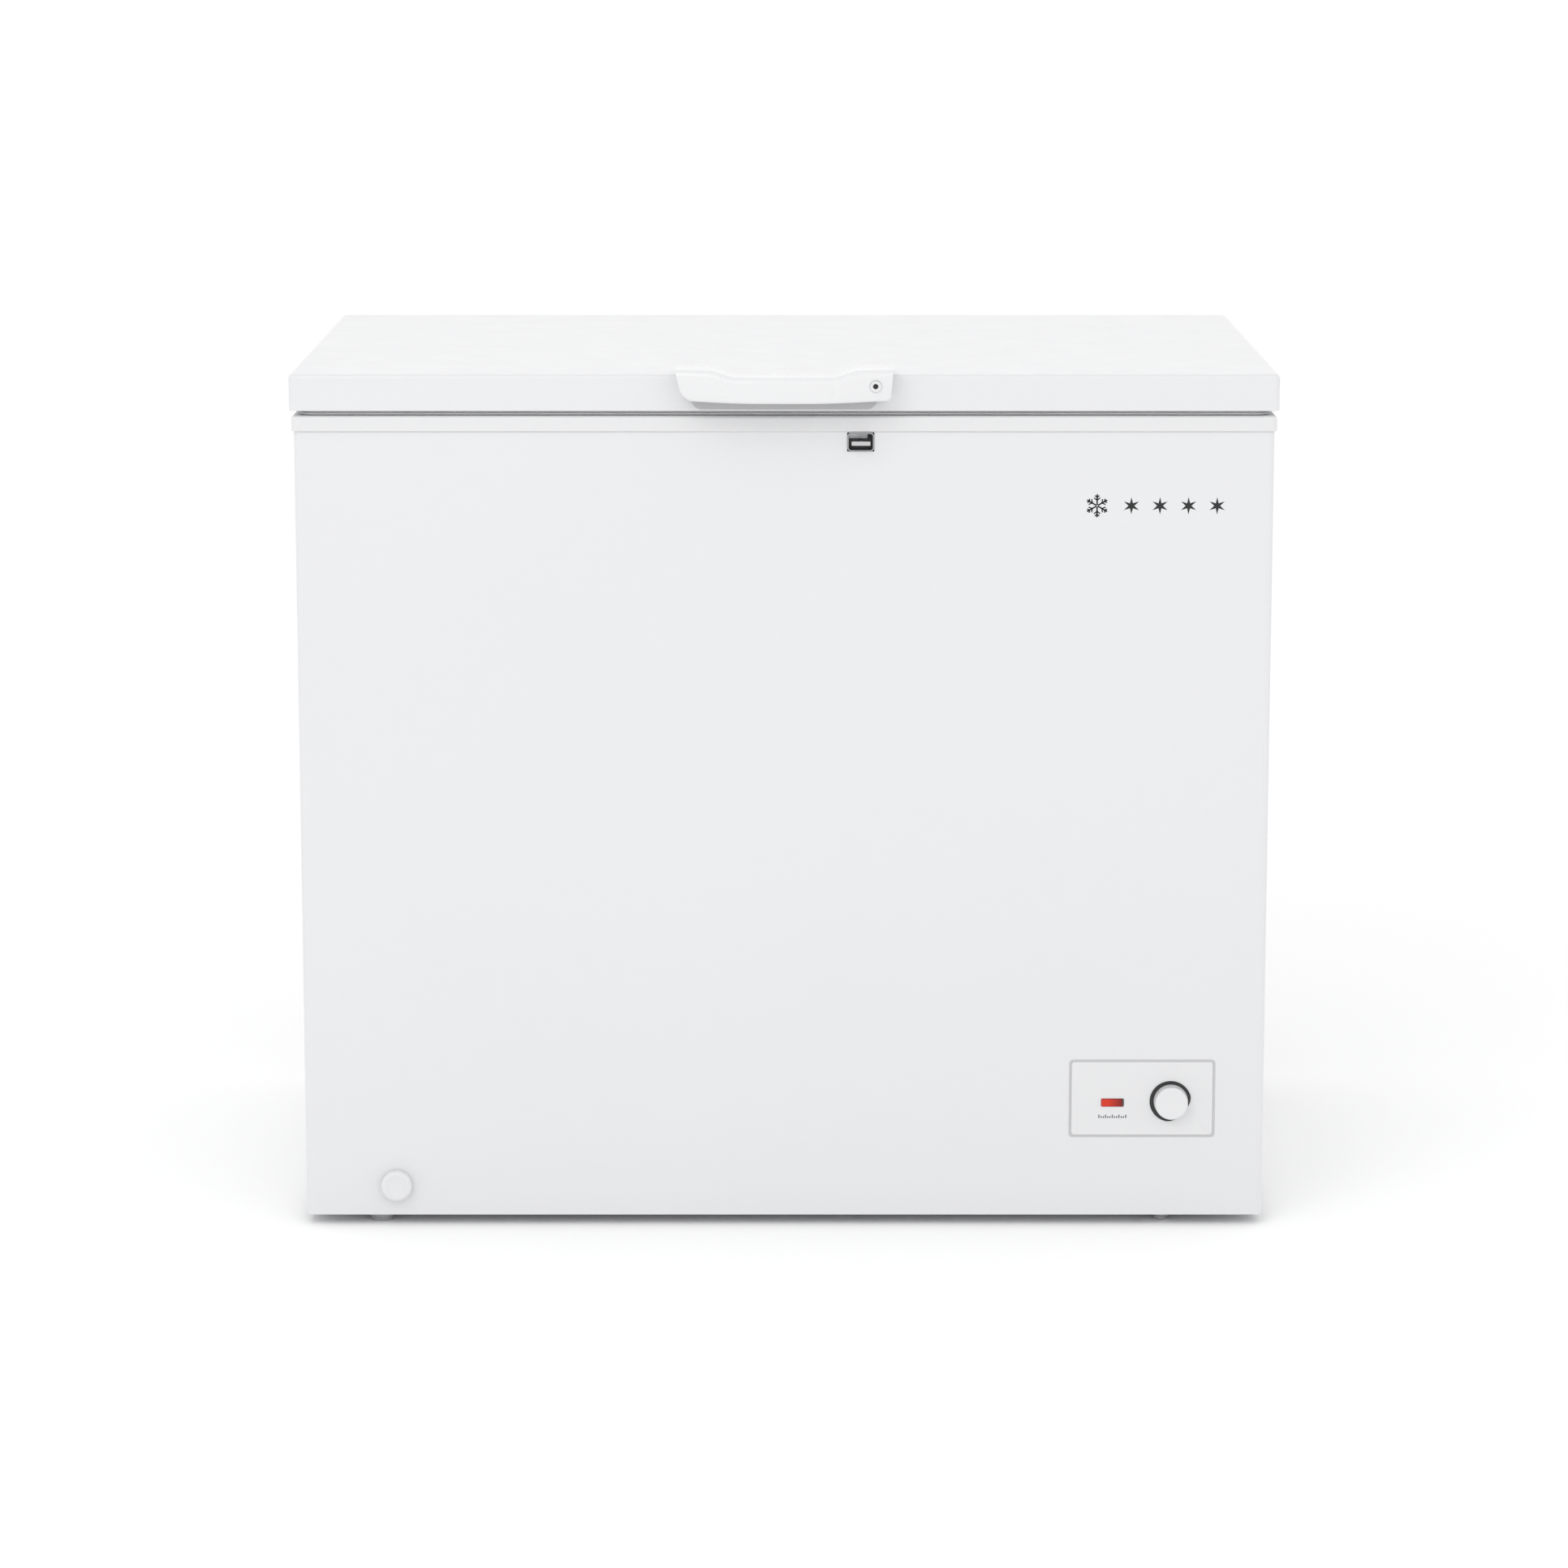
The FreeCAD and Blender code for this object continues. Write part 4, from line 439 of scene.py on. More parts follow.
RECIPES = {
    "shell_paint": lambda: finish(
        "powder_coat", tuple(colours().paint), (0.30, 0.38), tone=0.10, tone_scale=3, grain=620,
        height=0.000012, dust=0.03, Coat_Weight=0.2, Coat_Roughness=0.12),
    "zinc_sheet": lambda: finish(
        "zinc_sheet", (0.66, 0.67, 0.69), (0.3, 0.5), pattern=spangle, dust=0.12, wear=0.2,
        worn=(0.8, 0.8, 0.8), Metallic=0.85),
    "liner_paint": lambda: finish(
        "liner_coat", white(0.99), (0.30, 0.40), pattern=stucco, height=0.00012, tone=0.15,
        Coat_Weight=0.1),
    "collar_plastic": lambda: finish(
        "collar_moulding", white(0.985), (0.34, 0.42), grain=1900, height=0.00001, tone=0.12),
    "lid_plastic": lambda: finish(
        "lid_moulding", white(1.0), (0.26, 0.36), grain=1500, height=0.00001, tone=0.15),
    "seal": lambda: finish(
        "soft_seal", (0.78, 0.78, 0.79), (0.50, 0.62), grain=2400, height=0.00002, tone=0.4,
        dust=0.1, Sheen_Weight=0.1),
    "handle_plastic": lambda: finish(
        "handle_moulding", white(1.03), (0.22, 0.30), grain=2200, height=0.000006, tone=0.08,
        Coat_Weight=0.15),
    "panel_plastic": lambda: finish(
        "facia_moulding", white(0.995), (0.33, 0.42), grain=2600, height=0.00001, tone=0.10),
    "knob_plastic": lambda: finish(
        "knob_moulding", white(1.0), (0.26, 0.34), grain=2600, height=0.000006, tone=0.10),
    "drain_plastic": lambda: finish(
        "drain_moulding", white(1.0), (0.36, 0.46), grain=2000, height=0.00001, tone=0.12),
    # Grey tuned to the band under the handle's hood: partly the grip plate's own colour, partly
    # painted shade.
    "grey_plastic": lambda: finish(
        "grey_moulding", (0.50, 0.50, 0.51), (0.38, 0.50), grain=1800, height=0.00002, tone=0.3),
    "foot_plastic": lambda: finish(
        "foot_moulding", (0.33, 0.33, 0.34), (0.42, 0.55), grain=1500, height=0.00002, tone=0.4,
        wear=0.4, dust=0.1),
    "dark_plastic": lambda: finish(
        "dark_moulding", (0.016, 0.016, 0.017), (0.35, 0.45), grain=1800, height=0.00001),
    "black_rubber": lambda: finish(
        "rubber", (0.018, 0.018, 0.018), (0.62, 0.78), grain=1400, height=0.00004, dust=0.3),
    "lens_red": lambda: finish(
        "lamp_lens", tuple(colours().painted_lens_glow), (0.12, 0.18), pattern=painted_lamp_glow, grain=400,
        height=0.000004, tone=0.05, Specular_IOR_Level=0.25),
    "copper": lambda: finish(
        "copper_tube", (0.72, 0.36, 0.22), (0.2, 0.4), pattern=tarnish, Metallic=1.0),
    "compressor_black": lambda: finish(
        "compressor_enamel", (0.012, 0.012, 0.013), (0.25, 0.38), grain=300, height=0.00005,
        dust=0.35, wear=0.3),
    "iron": lambda: finish(
        "motor_iron", (0.22, 0.20, 0.19), (0.45, 0.6), pattern=laminated, height=0.0001,
        Metallic=1.0),
    "foam": lambda: finish(
        "poured_foam", (0.80, 0.68, 0.42), (0.85, 0.95), pattern=cells, height=0.0004, tone=0.5,
        Subsurface_Weight=0.05),
    "screw_steel": lambda: finish(
        "screw_steel", (0.62, 0.62, 0.63), (0.24, 0.34), grain=1500, height=0.00001, wear=0.4,
        Metallic=1.0),
    "hinge_steel": lambda: finish(
        "hinge_steel", (0.50, 0.50, 0.52), (0.28, 0.42), pattern=brushed, height=0.00001,
        wear=0.3, worn=(0.75, 0.75, 0.75), Metallic=1.0),
    "lock_chrome": lambda: finish(
        "lock_chrome", (0.80, 0.80, 0.81), (0.10, 0.18), grain=900, height=0.000004, tone=0.1,
        Metallic=1.0),
    "spring_steel": lambda: finish(
        "spring_steel", (0.36, 0.36, 0.38), (0.26, 0.40), grain=900, height=0.00001,
        Metallic=1.0),
    "wire_coating": lambda: finish(
        "wire_coating", white(0.99), (0.34, 0.44), grain=700, height=0.00002, tone=0.12),
    # finishes that have no slot of their own
    "print": lambda: finish(
        "printed_ink", tuple(colours().print_ink), (0.35, 0.5), grain=3000, height=0.000005),
    # Grey of the ring in the facia's seam: painted shade of the gap.
    "facia_seal": lambda: finish(
        "facia_seal", (0.52, 0.52, 0.53), (0.4, 0.5), grain=2400, height=0.00001, tone=0.1),
    "panel_print": lambda: finish(
        "grey_ink", (0.09, 0.09, 0.10), (0.4, 0.5), grain=3000, height=0.000005),
    "catch_zinc": lambda: finish(
        "catch_zinc", (0.33, 0.335, 0.34), (0.35, 0.5), pattern=brushed, height=0.00001,
        wear=0.5, worn=(0.6, 0.6, 0.6), Metallic=0.6),
    # Near black that paints the shade inside the catch's pocket.
    "catch_hollow_shade": lambda: finish(
        "catch_hollow_shade", (0.035, 0.035, 0.036), (0.4, 0.55), grain=1500, height=0.00002, tone=0.4),
    "bar_steel": lambda: finish(
        "bar_steel", (0.56, 0.56, 0.57), (0.28, 0.40), pattern=brushed, height=0.00001,
        Metallic=1.0),
    # Near black that paints the shade inside the keyhole.
    "keyway_shade": lambda: finish(
        "keyway_shade", (0.03, 0.03, 0.03), (0.4, 0.5), height=0.00001, Metallic=0.5),
}
MADE = {}


def material_of(key):
    """The finish of a slot, made the first time that it is asked for."""
    if key not in MADE:
        MADE[key] = RECIPES[key]()
    return MADE[key]


# ---- mesh tools ----------------------------------------------------------------------


def rounded(left, right, near, far, radius):
    """Points round a rectangle with rounded corners, anticlockwise."""
    radius = max(radius, TINY)
    centres = ((right, near, -1, 1, -pi / 2), (right, far, -1, -1, 0.0),
               (left, far, 1, -1, pi / 2), (left, near, 1, 1, pi))
    points = []
    for u, v, inward, upward, start in centres:
        for step in range(CORNER_STEPS + 1):
            angle = start + pi / 2 * step / CORNER_STEPS
            points.append((u + inward * radius + radius * cos(angle),
                           v + upward * radius + radius * sin(angle)))
    return points


def bridge(form, loops, closed=False):
    """Join loops of points with quads; the two ends are capped unless it is a ring."""
    rows = [[form.verts.new(point) for point in loop] for loop in loops]
    pairs = list(zip(rows, rows[1:]))
    if closed:
        pairs.append((rows[-1], rows[0]))
    for first, second in pairs:
        count = len(first)
        for step in range(count):
            after = (step + 1) % count
            form.faces.new((first[step], first[after], second[after], second[step]))
    if not closed:
        form.faces.new(list(reversed(rows[0])))
        form.faces.new(rows[-1])
    return form


def flat_point(u, v, level):
    """A point of an outline that lies flat, with its level along Z."""
    return Vector((u, v, level))


def front_point(u, v, level):
    """A point of an outline drawn on the front, with its level measured along Y."""
    return Vector((u, level, v))


def moulding(area, profile, to_point=flat_point, closed=False, form=None):
    """Sweep a profile of (outset, level, radius) round a rounded rectangle."""
    left, right, near, far = area
    loops = []
    for outset, level, radius in profile:
        outline = rounded(left - outset, right + outset, near - outset, far + outset, radius)
        loops.append([to_point(u, v, level) for u, v in outline])
    return bridge(form or bmesh.new(), loops, closed)


def arc(centre_out, centre_level, radius, start, end, steps=5, rise=None):
    """Points of a round between two angles, in degrees, as (outset, level)."""
    points = []
    for step in range(steps + 1):
        angle = radians(start + (end - start) * step / steps)
        points.append((centre_out + radius * cos(angle),
                       centre_level + (rise or radius) * sin(angle)))
    return points


def cornered(points, radius):
    """Points of a profile that share one corner radius."""
    return [(outset, level, radius) for outset, level in points]


def smooth_step(value, low, high):
    """A soft change from 0 to 1 between two values."""
    share = min(max((value - low) / (high - low), 0), 1)
    return share * share * (3 - 2 * share)


def lathe(profile, centre, axis, sides=48, form=None):
    """Turn a profile of (radius, distance) round an axis; ends on the axis close in a pole."""
    form = form or bmesh.new()
    along = Vector(axis).normalized()
    across = along.orthogonal().normalized()
    beside = along.cross(across)
    centre = Vector(centre)
    last = None
    for radius, distance in profile:
        if radius < TINY:
            row = [form.verts.new(centre + along * distance)]
        else:
            angles = [2 * pi * step / sides for step in range(sides)]
            row = [form.verts.new(centre + along * distance
                                  + (across * cos(angle) + beside * sin(angle)) * radius)
                   for angle in angles]
        if last:
            for step in range(sides):
                after = (step + 1) % sides
                corners = [last[step % len(last)], last[after % len(last)],
                           row[after % len(row)], row[step % len(row)]]
                form.faces.new(list(dict.fromkeys(corners)))
        last = row
    return form


def welded(node):
    """A copy of a CAD sub-part with its triangles joined."""
    form = bmesh.new()
    form.from_mesh(frame["nodes"][node].data)
    bmesh.ops.remove_doubles(form, verts=form.verts, dist=WELD)
    return form


def cleaned(node):
    """A copy of a CAD sub-part with its flat faces whole."""
    form = welded(node)
    bmesh.ops.dissolve_limit(form, angle_limit=radians(0.5), verts=form.verts, edges=form.edges)
    return form


def block(low, high, form=None):
    """Six faces between two corners, to be joined into a larger shape and bevelled."""
    form = form or bmesh.new()
    outline = [(low[0], low[1]), (high[0], low[1]), (high[0], high[1]), (low[0], high[1])]
    return bridge(form, [[flat_point(x, y, level) for x, y in outline]
                         for level in (low[2], high[2])])


def new_object(name, data):
    """An object that is part of the scene."""
    obj = bpy.data.objects.new(name, data)
    bpy.context.scene.collection.objects.link(obj)
    return obj


def baked(obj):
    """A plain mesh of the object with its modifiers applied."""
    bpy.context.view_layer.update()
    graph = bpy.context.evaluated_depsgraph_get()
    return bpy.data.meshes.new_from_object(obj.evaluated_get(graph), depsgraph=graph)


def piece(name, shape, body, slot, stands_for=(), look=None, bevel=0.0, segments=2,
          angle=30.0, cutter=None, level=True):
    """Finish a shape: rounds, normals, material from its slot or look, and body."""
    if isinstance(shape, bmesh.types.BMesh):
        mesh = bpy.data.meshes.new(name)
        bmesh.ops.remove_doubles(shape, verts=shape.verts, dist=WELD / 2)
        bmesh.ops.recalc_face_normals(shape, faces=shape.faces)
        shape.to_mesh(mesh)
        shape.free()
    else:
        mesh = shape
    obj = new_object(name, mesh)
    if cutter:
        cut = obj.modifiers.new("bore", "BOOLEAN")
        cut.object = cutter
        cut.operation = "DIFFERENCE"
    mesh.shade_smooth()
    mesh.set_sharp_from_angle(angle=SMOOTH)
    if bevel:
        rounds = obj.modifiers.new("rounds", "BEVEL")
        rounds.width = bevel
        rounds.segments = segments
        rounds.limit_method = "ANGLE"
        rounds.angle_limit = radians(angle)
        rounds.use_clamp_overlap = True
    if level:
        normals = obj.modifiers.new("normals", "WEIGHTED_NORMAL")
        normals.keep_sharp = True
    plain = baked(obj)
    obj.modifiers.clear()
    obj.data = plain
    plain.name = name
    plain.materials.clear()
    plain.materials.append(material_of(look or slot))
    if cutter:
        bpy.data.objects.remove(cutter)
    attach(obj, body)
    if stands_for:
        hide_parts(*stands_for)
    return obj


def refined(node, body, slot, bevel, look=None, segments=2, name=None):
    """A CAD sub-part with rounded edges."""
    return piece(name or node + "_formed", cleaned(node), body, slot, (node,), look, bevel,
                 segments)


# ---- geometry node trees ---------------------------------------------------------------


def growth(name, inputs):
    """An empty Geometry Nodes tree with a geometry in and out and named inputs."""
    group = bpy.data.node_groups.new(name, "GeometryNodeTree")
    group.interface.new_socket(name="Geometry", in_out="OUTPUT", socket_type="NodeSocketGeometry")
    group.interface.new_socket(name="Geometry", in_out="INPUT", socket_type="NodeSocketGeometry")
    for label, kind in inputs:
        group.interface.new_socket(name=label, in_out="INPUT", socket_type=kind)
    return group, new_node(group, "NodeGroupInput"), new_node(group, "NodeGroupOutput")


def closing(group, enter, leave, source):
    """End a tree: real geometry, with its material."""
    real = new_node(group, "GeometryNodeRealizeInstances")
    dressed = new_node(group, "GeometryNodeSetMaterial")
    link(group, source, real.inputs["Geometry"])
    join(group, (real, "Geometry", dressed, "Geometry"), (enter, "Material", dressed, "Material"),
         (dressed, "Geometry", leave, "Geometry"))
    return group


def build_row():
    """Copies of a shape along a straight line."""
    group, enter, leave = growth("row_of_copies", [
        ("Count", "NodeSocketInt"), ("Step", "NodeSocketVector"),
        ("Material", "NodeSocketMaterial")])
    line = new_node(group, "GeometryNodeMeshLine", mode="OFFSET")
    copies = new_node(group, "GeometryNodeInstanceOnPoints")
    join(group, (enter, "Count", line, "Count"), (enter, "Step", line, "Offset"),
         (line, "Mesh", copies, "Points"), (enter, "Geometry", copies, "Instance"))
    return closing(group, enter, leave, copies.outputs["Instances"])


def build_fasteners():
    """One fastener on each point, all turned the same way."""
    group, enter, leave = growth("fasteners", [
        ("Fastener", "NodeSocketObject"), ("Turn", "NodeSocketRotation"),
        ("Material", "NodeSocketMaterial")])
    source = new_node(group, "GeometryNodeObjectInfo", transform_space="ORIGINAL")
    copies = new_node(group, "GeometryNodeInstanceOnPoints")
    join(group, (enter, "Fastener", source, "Object"), (source, "Geometry", copies, "Instance"),
         (enter, "Geometry", copies, "Points"), (enter, "Turn", copies, "Rotation"))
    return closing(group, enter, leave, copies.outputs["Instances"])


def build_wires():
    """Round wire along a path with bent corners, repeated in a row."""
    group, enter, leave = growth("bent_wires", [
        ("Thickness", "NodeSocketFloat"), ("Bend", "NodeSocketFloat"), ("Sides", "NodeSocketInt"),
        ("Count", "NodeSocketInt"), ("Step", "NodeSocketVector"),
        ("Material", "NodeSocketMaterial")])
    path = new_node(group, "GeometryNodeMeshToCurve")
    bends = new_node(group, "GeometryNodeFilletCurve", mode="POLY")
    bends.inputs["Count"].default_value = 5
    bends.inputs["Limit Radius"].default_value = True
    ring = new_node(group, "GeometryNodeCurvePrimitiveCircle")
    half = new_node(group, "ShaderNodeMath", operation="MULTIPLY")
    half.inputs[1].default_value = 0.5
    wire = new_node(group, "GeometryNodeCurveToMesh")
    wire.inputs["Fill Caps"].default_value = True
    smooth = new_node(group, "GeometryNodeSetShadeSmooth")
    line = new_node(group, "GeometryNodeMeshLine", mode="OFFSET")
    copies = new_node(group, "GeometryNodeInstanceOnPoints")
    join(group, (enter, "Geometry", path, "Mesh"), (path, "Curve", bends, "Curve"),
         (enter, "Bend", bends, "Radius"), (enter, "Thickness", half, 0), (half, 0, ring, "Radius"),
         (enter, "Sides", ring, "Resolution"), (bends, "Curve", wire, "Curve"),
         (ring, "Curve", wire, "Profile Curve"), (wire, "Mesh", smooth, "Geometry"),
         (enter, "Count", line, "Count"), (enter, "Step", line, "Offset"),
         (line, "Mesh", copies, "Points"), (smooth, "Geometry", copies, "Instance"))
    return closing(group, enter, leave, copies.outputs["Instances"])


TREES = {"row": build_row, "fasteners": build_fasteners, "wires": build_wires}


def grown(key, base, values):
    """Evaluate one of the trees on a base mesh and return the plain result."""
    group = TREES[key]
    if not isinstance(group, bpy.types.NodeTree):
        group = TREES[key] = group()
    holder = new_object("holder", base)
    nodes = holder.modifiers.new(group.name, "NODES")
    nodes.node_group = group
    for item in group.interface.items_tree:
        if item.item_type == "SOCKET" and item.in_out == "INPUT" and item.name in values:
            nodes[item.identifier] = values[item.name]
    result = baked(holder)
    bpy.data.objects.remove(holder)
    return result


def mesh_of(form, name="base"):
    """A mesh from a form, with its normals pointing out."""
    mesh = bpy.data.meshes.new(name)
    bmesh.ops.recalc_face_normals(form, faces=form.faces)
    form.to_mesh(mesh)
    form.free()
    return mesh


def line_mesh(points, ring=False):
    """A mesh of edges through the points."""
    mesh = bpy.data.meshes.new("path")
    edges = [(step, step + 1) for step in range(len(points) - 1)]
    if ring:
        edges.append((len(points) - 1, 0))
    mesh.from_pydata([tuple(point) for point in points], edges, [])
    return mesh


def wires(paths, thickness, bend, look, sides=10):
    """Several rows of wire as one mesh: each row is (points, ring, count, step)."""
    form = bmesh.new()
    for points, ring, count, step in paths:
        part = grown("wires", line_mesh(points, ring), {
            "Thickness": thickness, "Bend": bend, "Sides": sides, "Count": count, "Step": step,
            "Material": material_of(look)})
        form.from_mesh(part)
    return form


def row_of(shape, count, step, look):
    """Copies of a shape in a row, as one form."""
    form = bmesh.new()
    form.from_mesh(grown("row", mesh_of(shape), {
        "Count": count, "Step": step, "Material": material_of(look)}))
    return form


def screw_form(radius=0.004, height=0.0021, shank=0.003):
    """Pan head with a cross recess, pointing up, its seat at zero."""
    sides = 24
    arm, reach, depth, narrowing = radius * 0.16, radius * 0.55, height * 0.45, 0.6
    stem = radius * 0.42
    profile = [(0, -shank), (stem, -shank), (stem, 0), (radius * 0.96, 0),
               (radius, height * 0.15), (radius, height * 0.45),
               (radius * 0.86, height * 0.78), (radius * 0.62, height * 0.95)]
    form = lathe(profile, STILL, UPWARD, sides)
    cross = [(arm, reach), (-arm, reach), (-arm, arm), (-reach, arm), (-reach, -arm), (-arm, -arm),
             (-arm, -reach), (arm, -reach), (arm, -arm), (reach, -arm), (reach, arm), (arm, arm)]
    top = [form.verts.new((x, y, height)) for x, y in cross]
    low = [form.verts.new((x * narrowing, y * narrowing, height - depth)) for x, y in cross]
    for step in range(len(cross)):
        after = (step + 1) % len(cross)
        form.faces.new((top[step], top[after], low[after], low[step]))
    form.faces.new(low)
    form.verts.ensure_lookup_table()
    form.edges.ensure_lookup_table()
    rim = [edge for edge in form.edges if edge.is_boundary]
    bmesh.ops.triangle_fill(form, edges=rim, use_beauty=True, use_dissolve=False)
    return form


def screws(name, node, spots, normal, body, radius=0.004):
    """Screws on spots, with heads that look along the normal."""
    screw = new_object("screw_form", mesh_of(screw_form(radius), "screw"))
    turn = Vector(UPWARD).rotation_difference(Vector(normal)).to_euler()
    points = bpy.data.meshes.new("spots")
    points.from_pydata([tuple(spot) for spot in spots], [], [])
    mesh = grown("fasteners", points, {
        "Fastener": screw, "Turn": turn, "Material": material_of("screw_steel")})
    bpy.data.objects.remove(screw)
    return piece(name, mesh, body, "screw_steel", (node,))


def seats(node, face, count):
    """Centres of a fastener group: the middles of its separate solids, moved to a face."""
    form = welded(node)
    left = set(form.verts)
    found = []
    while left:
        stack = [left.pop()]
        island = list(stack)
        while stack:
            for edge in stack.pop().link_edges:
                for vertex in edge.verts:
                    if vertex in left:
                        left.remove(vertex)
                        stack.append(vertex)
                        island.append(vertex)
        xs = [vertex.co.x for vertex in island]
        zs = [vertex.co.z for vertex in island]
        found.append(Vector(((min(xs) + max(xs)) / 2, face, (min(zs) + max(zs)) / 2)))
    form.free()
    if len(found) != count:
        raise ValueError(f"{node} has {len(found)} fasteners and not {count}")
    return sorted(found, key=lambda spot: (round(spot.x, 4), spot.z))


# ---- operators: one for each piece or group of pieces -----------------------------------


class FREEZER_OT_finishes(bpy.types.Operator):
    """Give every sub-part of the frame the finish of its slot"""

    bl_idname = "freezer.finishes"
    bl_label = "Finishes"

    def execute(self, context):
        slots = {part["node"]: part["material_slot"] for part in frame["record"]["subparts"]}
        for name, obj in frame["nodes"].items():
            obj.data.materials.clear()
            obj.data.materials.append(material_of(slots[name]))
        return {"FINISHED"}


class FREEZER_OT_cabinet(bpy.types.Operator):
    """Painted wrap, back panel with pressed beads, and the tub's liner"""

    bl_idname = "freezer.cabinet"
    bl_label = "Cabinet"

    def execute(self, context):
        refined("outer_wrap", "cabinet", "shell_paint", 0.0003)
        refined("inner_liner", "cabinet", "liner_paint", 0.0)
        refined("back_panel", "cabinet", "zinc_sheet", 0.0002)
        self.beads()
        return {"FINISHED"}

    def beads(self):
        """Shallow stiffening beads pressed into the back panel."""
        low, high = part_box("back_panel")
        pitch, margin, above_cover, below_top = 0.13, 0.09, 0.06, 0.12
        half, rise, flank, root = 0.012, 0.0028, 0.002, 0.0002
        first = low.x + margin
        area = (first - half, first + half, COVER_HIGH.z + above_cover, high.z - below_top)
        shape = moulding(area, [(0, high.y - root, half), (0, high.y, half),
                                (-flank, high.y + rise * 0.7, half - flank),
                                (-2 * flank, high.y + rise, half - 2 * flank)], front_point)
        count = int((high.x - margin - first) / pitch) + 1
        form = row_of(shape, count, (pitch, 0, 0), "zinc_sheet")
        piece("back_beads", form, "cabinet", "zinc_sheet")


class FREEZER_OT_collar(bpy.types.Operator):
    """Moulded collar round the mouth of the tub, hollow below"""

    bl_idname = "freezer.collar"
    bl_label = "Collar"

    def execute(self, context):
        edge, mouth = sizes().collar_edge, sizes().mouth_corner
        wall, lip, gap, bevel, draft = 0.002, 0.0012, 0.0022, 0.0004, 0.0008
        corner, soft, liner_sheet = 0.0045, 0.0015, 0.0006
        ledge_width, ledge_drop = 0.012, 0.008
        low, high = COLLAR_LOW.z, COLLAR_HIGH.z
        foot = low + lip
        inner = COLLAR_HIGH.x - (LINER_HIGH.x - liner_sheet)
        shelf = inner - ledge_width
        ledge = high - ledge_drop
        upper_mouth = mouth * 0.85
        area = (COLLAR_LOW.x, COLLAR_HIGH.x, COLLAR_LOW.y, COLLAR_HIGH.y)
        profile = cornered([(-gap, low), (-gap, foot), (-bevel, foot), (0, foot + bevel)]
                           + arc(-edge, high - edge, edge, 0, 90), corner)
        profile += cornered(arc(-shelf + soft, high - soft, soft, 90, 180, 3) + [(-shelf, ledge)],
                            upper_mouth)
        profile += cornered(arc(-inner + soft, ledge - soft, soft, 90, 180, 3)
                            + [(-inner, low), (-inner + wall, low), (-inner + wall, ledge - wall),
                               (-shelf - wall, ledge - wall)], mouth)
        profile.append((-shelf, high - wall, upper_mouth))
        profile += cornered([(-edge, high - wall), (-wall, high - edge), (-wall - draft, low)],
                            corner)
        form = moulding(area, profile, closed=True)
        piece("collar_moulding", form, "cabinet", "collar_plastic", ("top_collar",))
        return {"FINISHED"}


class FREEZER_OT_lid(bpy.types.Operator):
    """Folded lid skin, moulded inner panel with a dished middle, and bellows gasket"""

    bl_idname = "freezer.lid"
    bl_label = "Lid"

    def execute(self, context):
        self.skin()
        self.inner_panel()
        self.gasket()
        return {"FINISHED"}

    def skin(self):
        """Outer sheet, with a rounded top edge and a hemmed lower edge."""
        sheet, corner, edge = sizes().sheet, sizes().lid_corner, sizes().lid_edge
        hem, hem_height, bevel = 0.0006, 0.001, 0.0002
        low, high = LID_LOW.z, LID_HIGH.z
        area = (LID_LOW.x, LID_HIGH.x, LID_LOW.y, LID_HIGH.y)
        profile = [(-edge, high - sheet, corner - edge)]
        profile += [(out, level, corner + out) for out, level in
                    reversed(arc(-edge, high - edge, edge - sheet, 0, 75))]
        profile += [(-sheet, low + hem_height, corner - sheet), (-hem, low, corner - hem),
                    (-bevel, low + bevel / 2, corner), (0, low + hem, corner)]
        profile += [(out, level, corner + out) for out, level in
                    arc(-edge, high - edge, edge, 0, 90, 8)]
        piece("lid_shell", moulding(area, profile), "lid", "shell_paint", ("lid_skin",))

    def inner_panel(self):
        """Sheet with a flange, a raised plug and a shallow recess in the middle."""
        low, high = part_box("lid_inner_panel")
        wall, flange = 0.0015, LID_LOW.z
        base, hidden = low.z, low.z + wall - TINY
        plug, corner, flank, bevel = 0.0798, 0.005, 0.002, 0.0006
        recess, depth, recess_corner = plug + 0.045, 0.0008, 0.03
        profile = [(-recess, base + depth, recess_corner), (-recess + flank, base, recess_corner)]
        profile += cornered([(-plug - flank, base), (-plug - 0.0009, base + bevel),
                             (-plug - 0.0005, base + 0.0016), (-plug, flange - flank),
                             (-plug + bevel, flange - bevel), (-plug + flank, flange),
                             (0, flange), (0, flange + wall), (-plug - 0.0011, flange + wall),
                             (-plug - 0.0014, hidden)], corner)
        profile.append((-recess, hidden, recess_corner))
        area = (low.x, high.x, low.y, high.y)
        piece("lid_tray", moulding(area, profile), "lid", "lid_plastic", ("lid_inner_panel",))

    def gasket(self):
        """Bellows section swept round the lid."""
        low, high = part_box("lid_gasket")
        wide, corner = 0.020, 0.012
        area = (low.x, high.x, low.y, high.y)
        tall = high.z - low.z
        section = [(0.10, 0.0), (0.90, 0.0), (0.98, 0.12), (1.0, 0.30), (0.92, 0.46),
                   (0.80, 0.50), (0.90, 0.58), (0.96, 0.70), (0.90, 0.84), (0.74, 0.90),
                   (0.62, 1.0), (0.38, 1.0), (0.26, 0.90), (0.10, 0.84), (0.04, 0.70),
                   (0.10, 0.58), (0.20, 0.50), (0.08, 0.46), (0.0, 0.30), (0.02, 0.12)]
        profile = [(-wide * across, low.z + tall * level, corner) for across, level in section]
        piece("lid_seal", moulding(area, profile, closed=True), "lid", "seal", ("lid_gasket",))


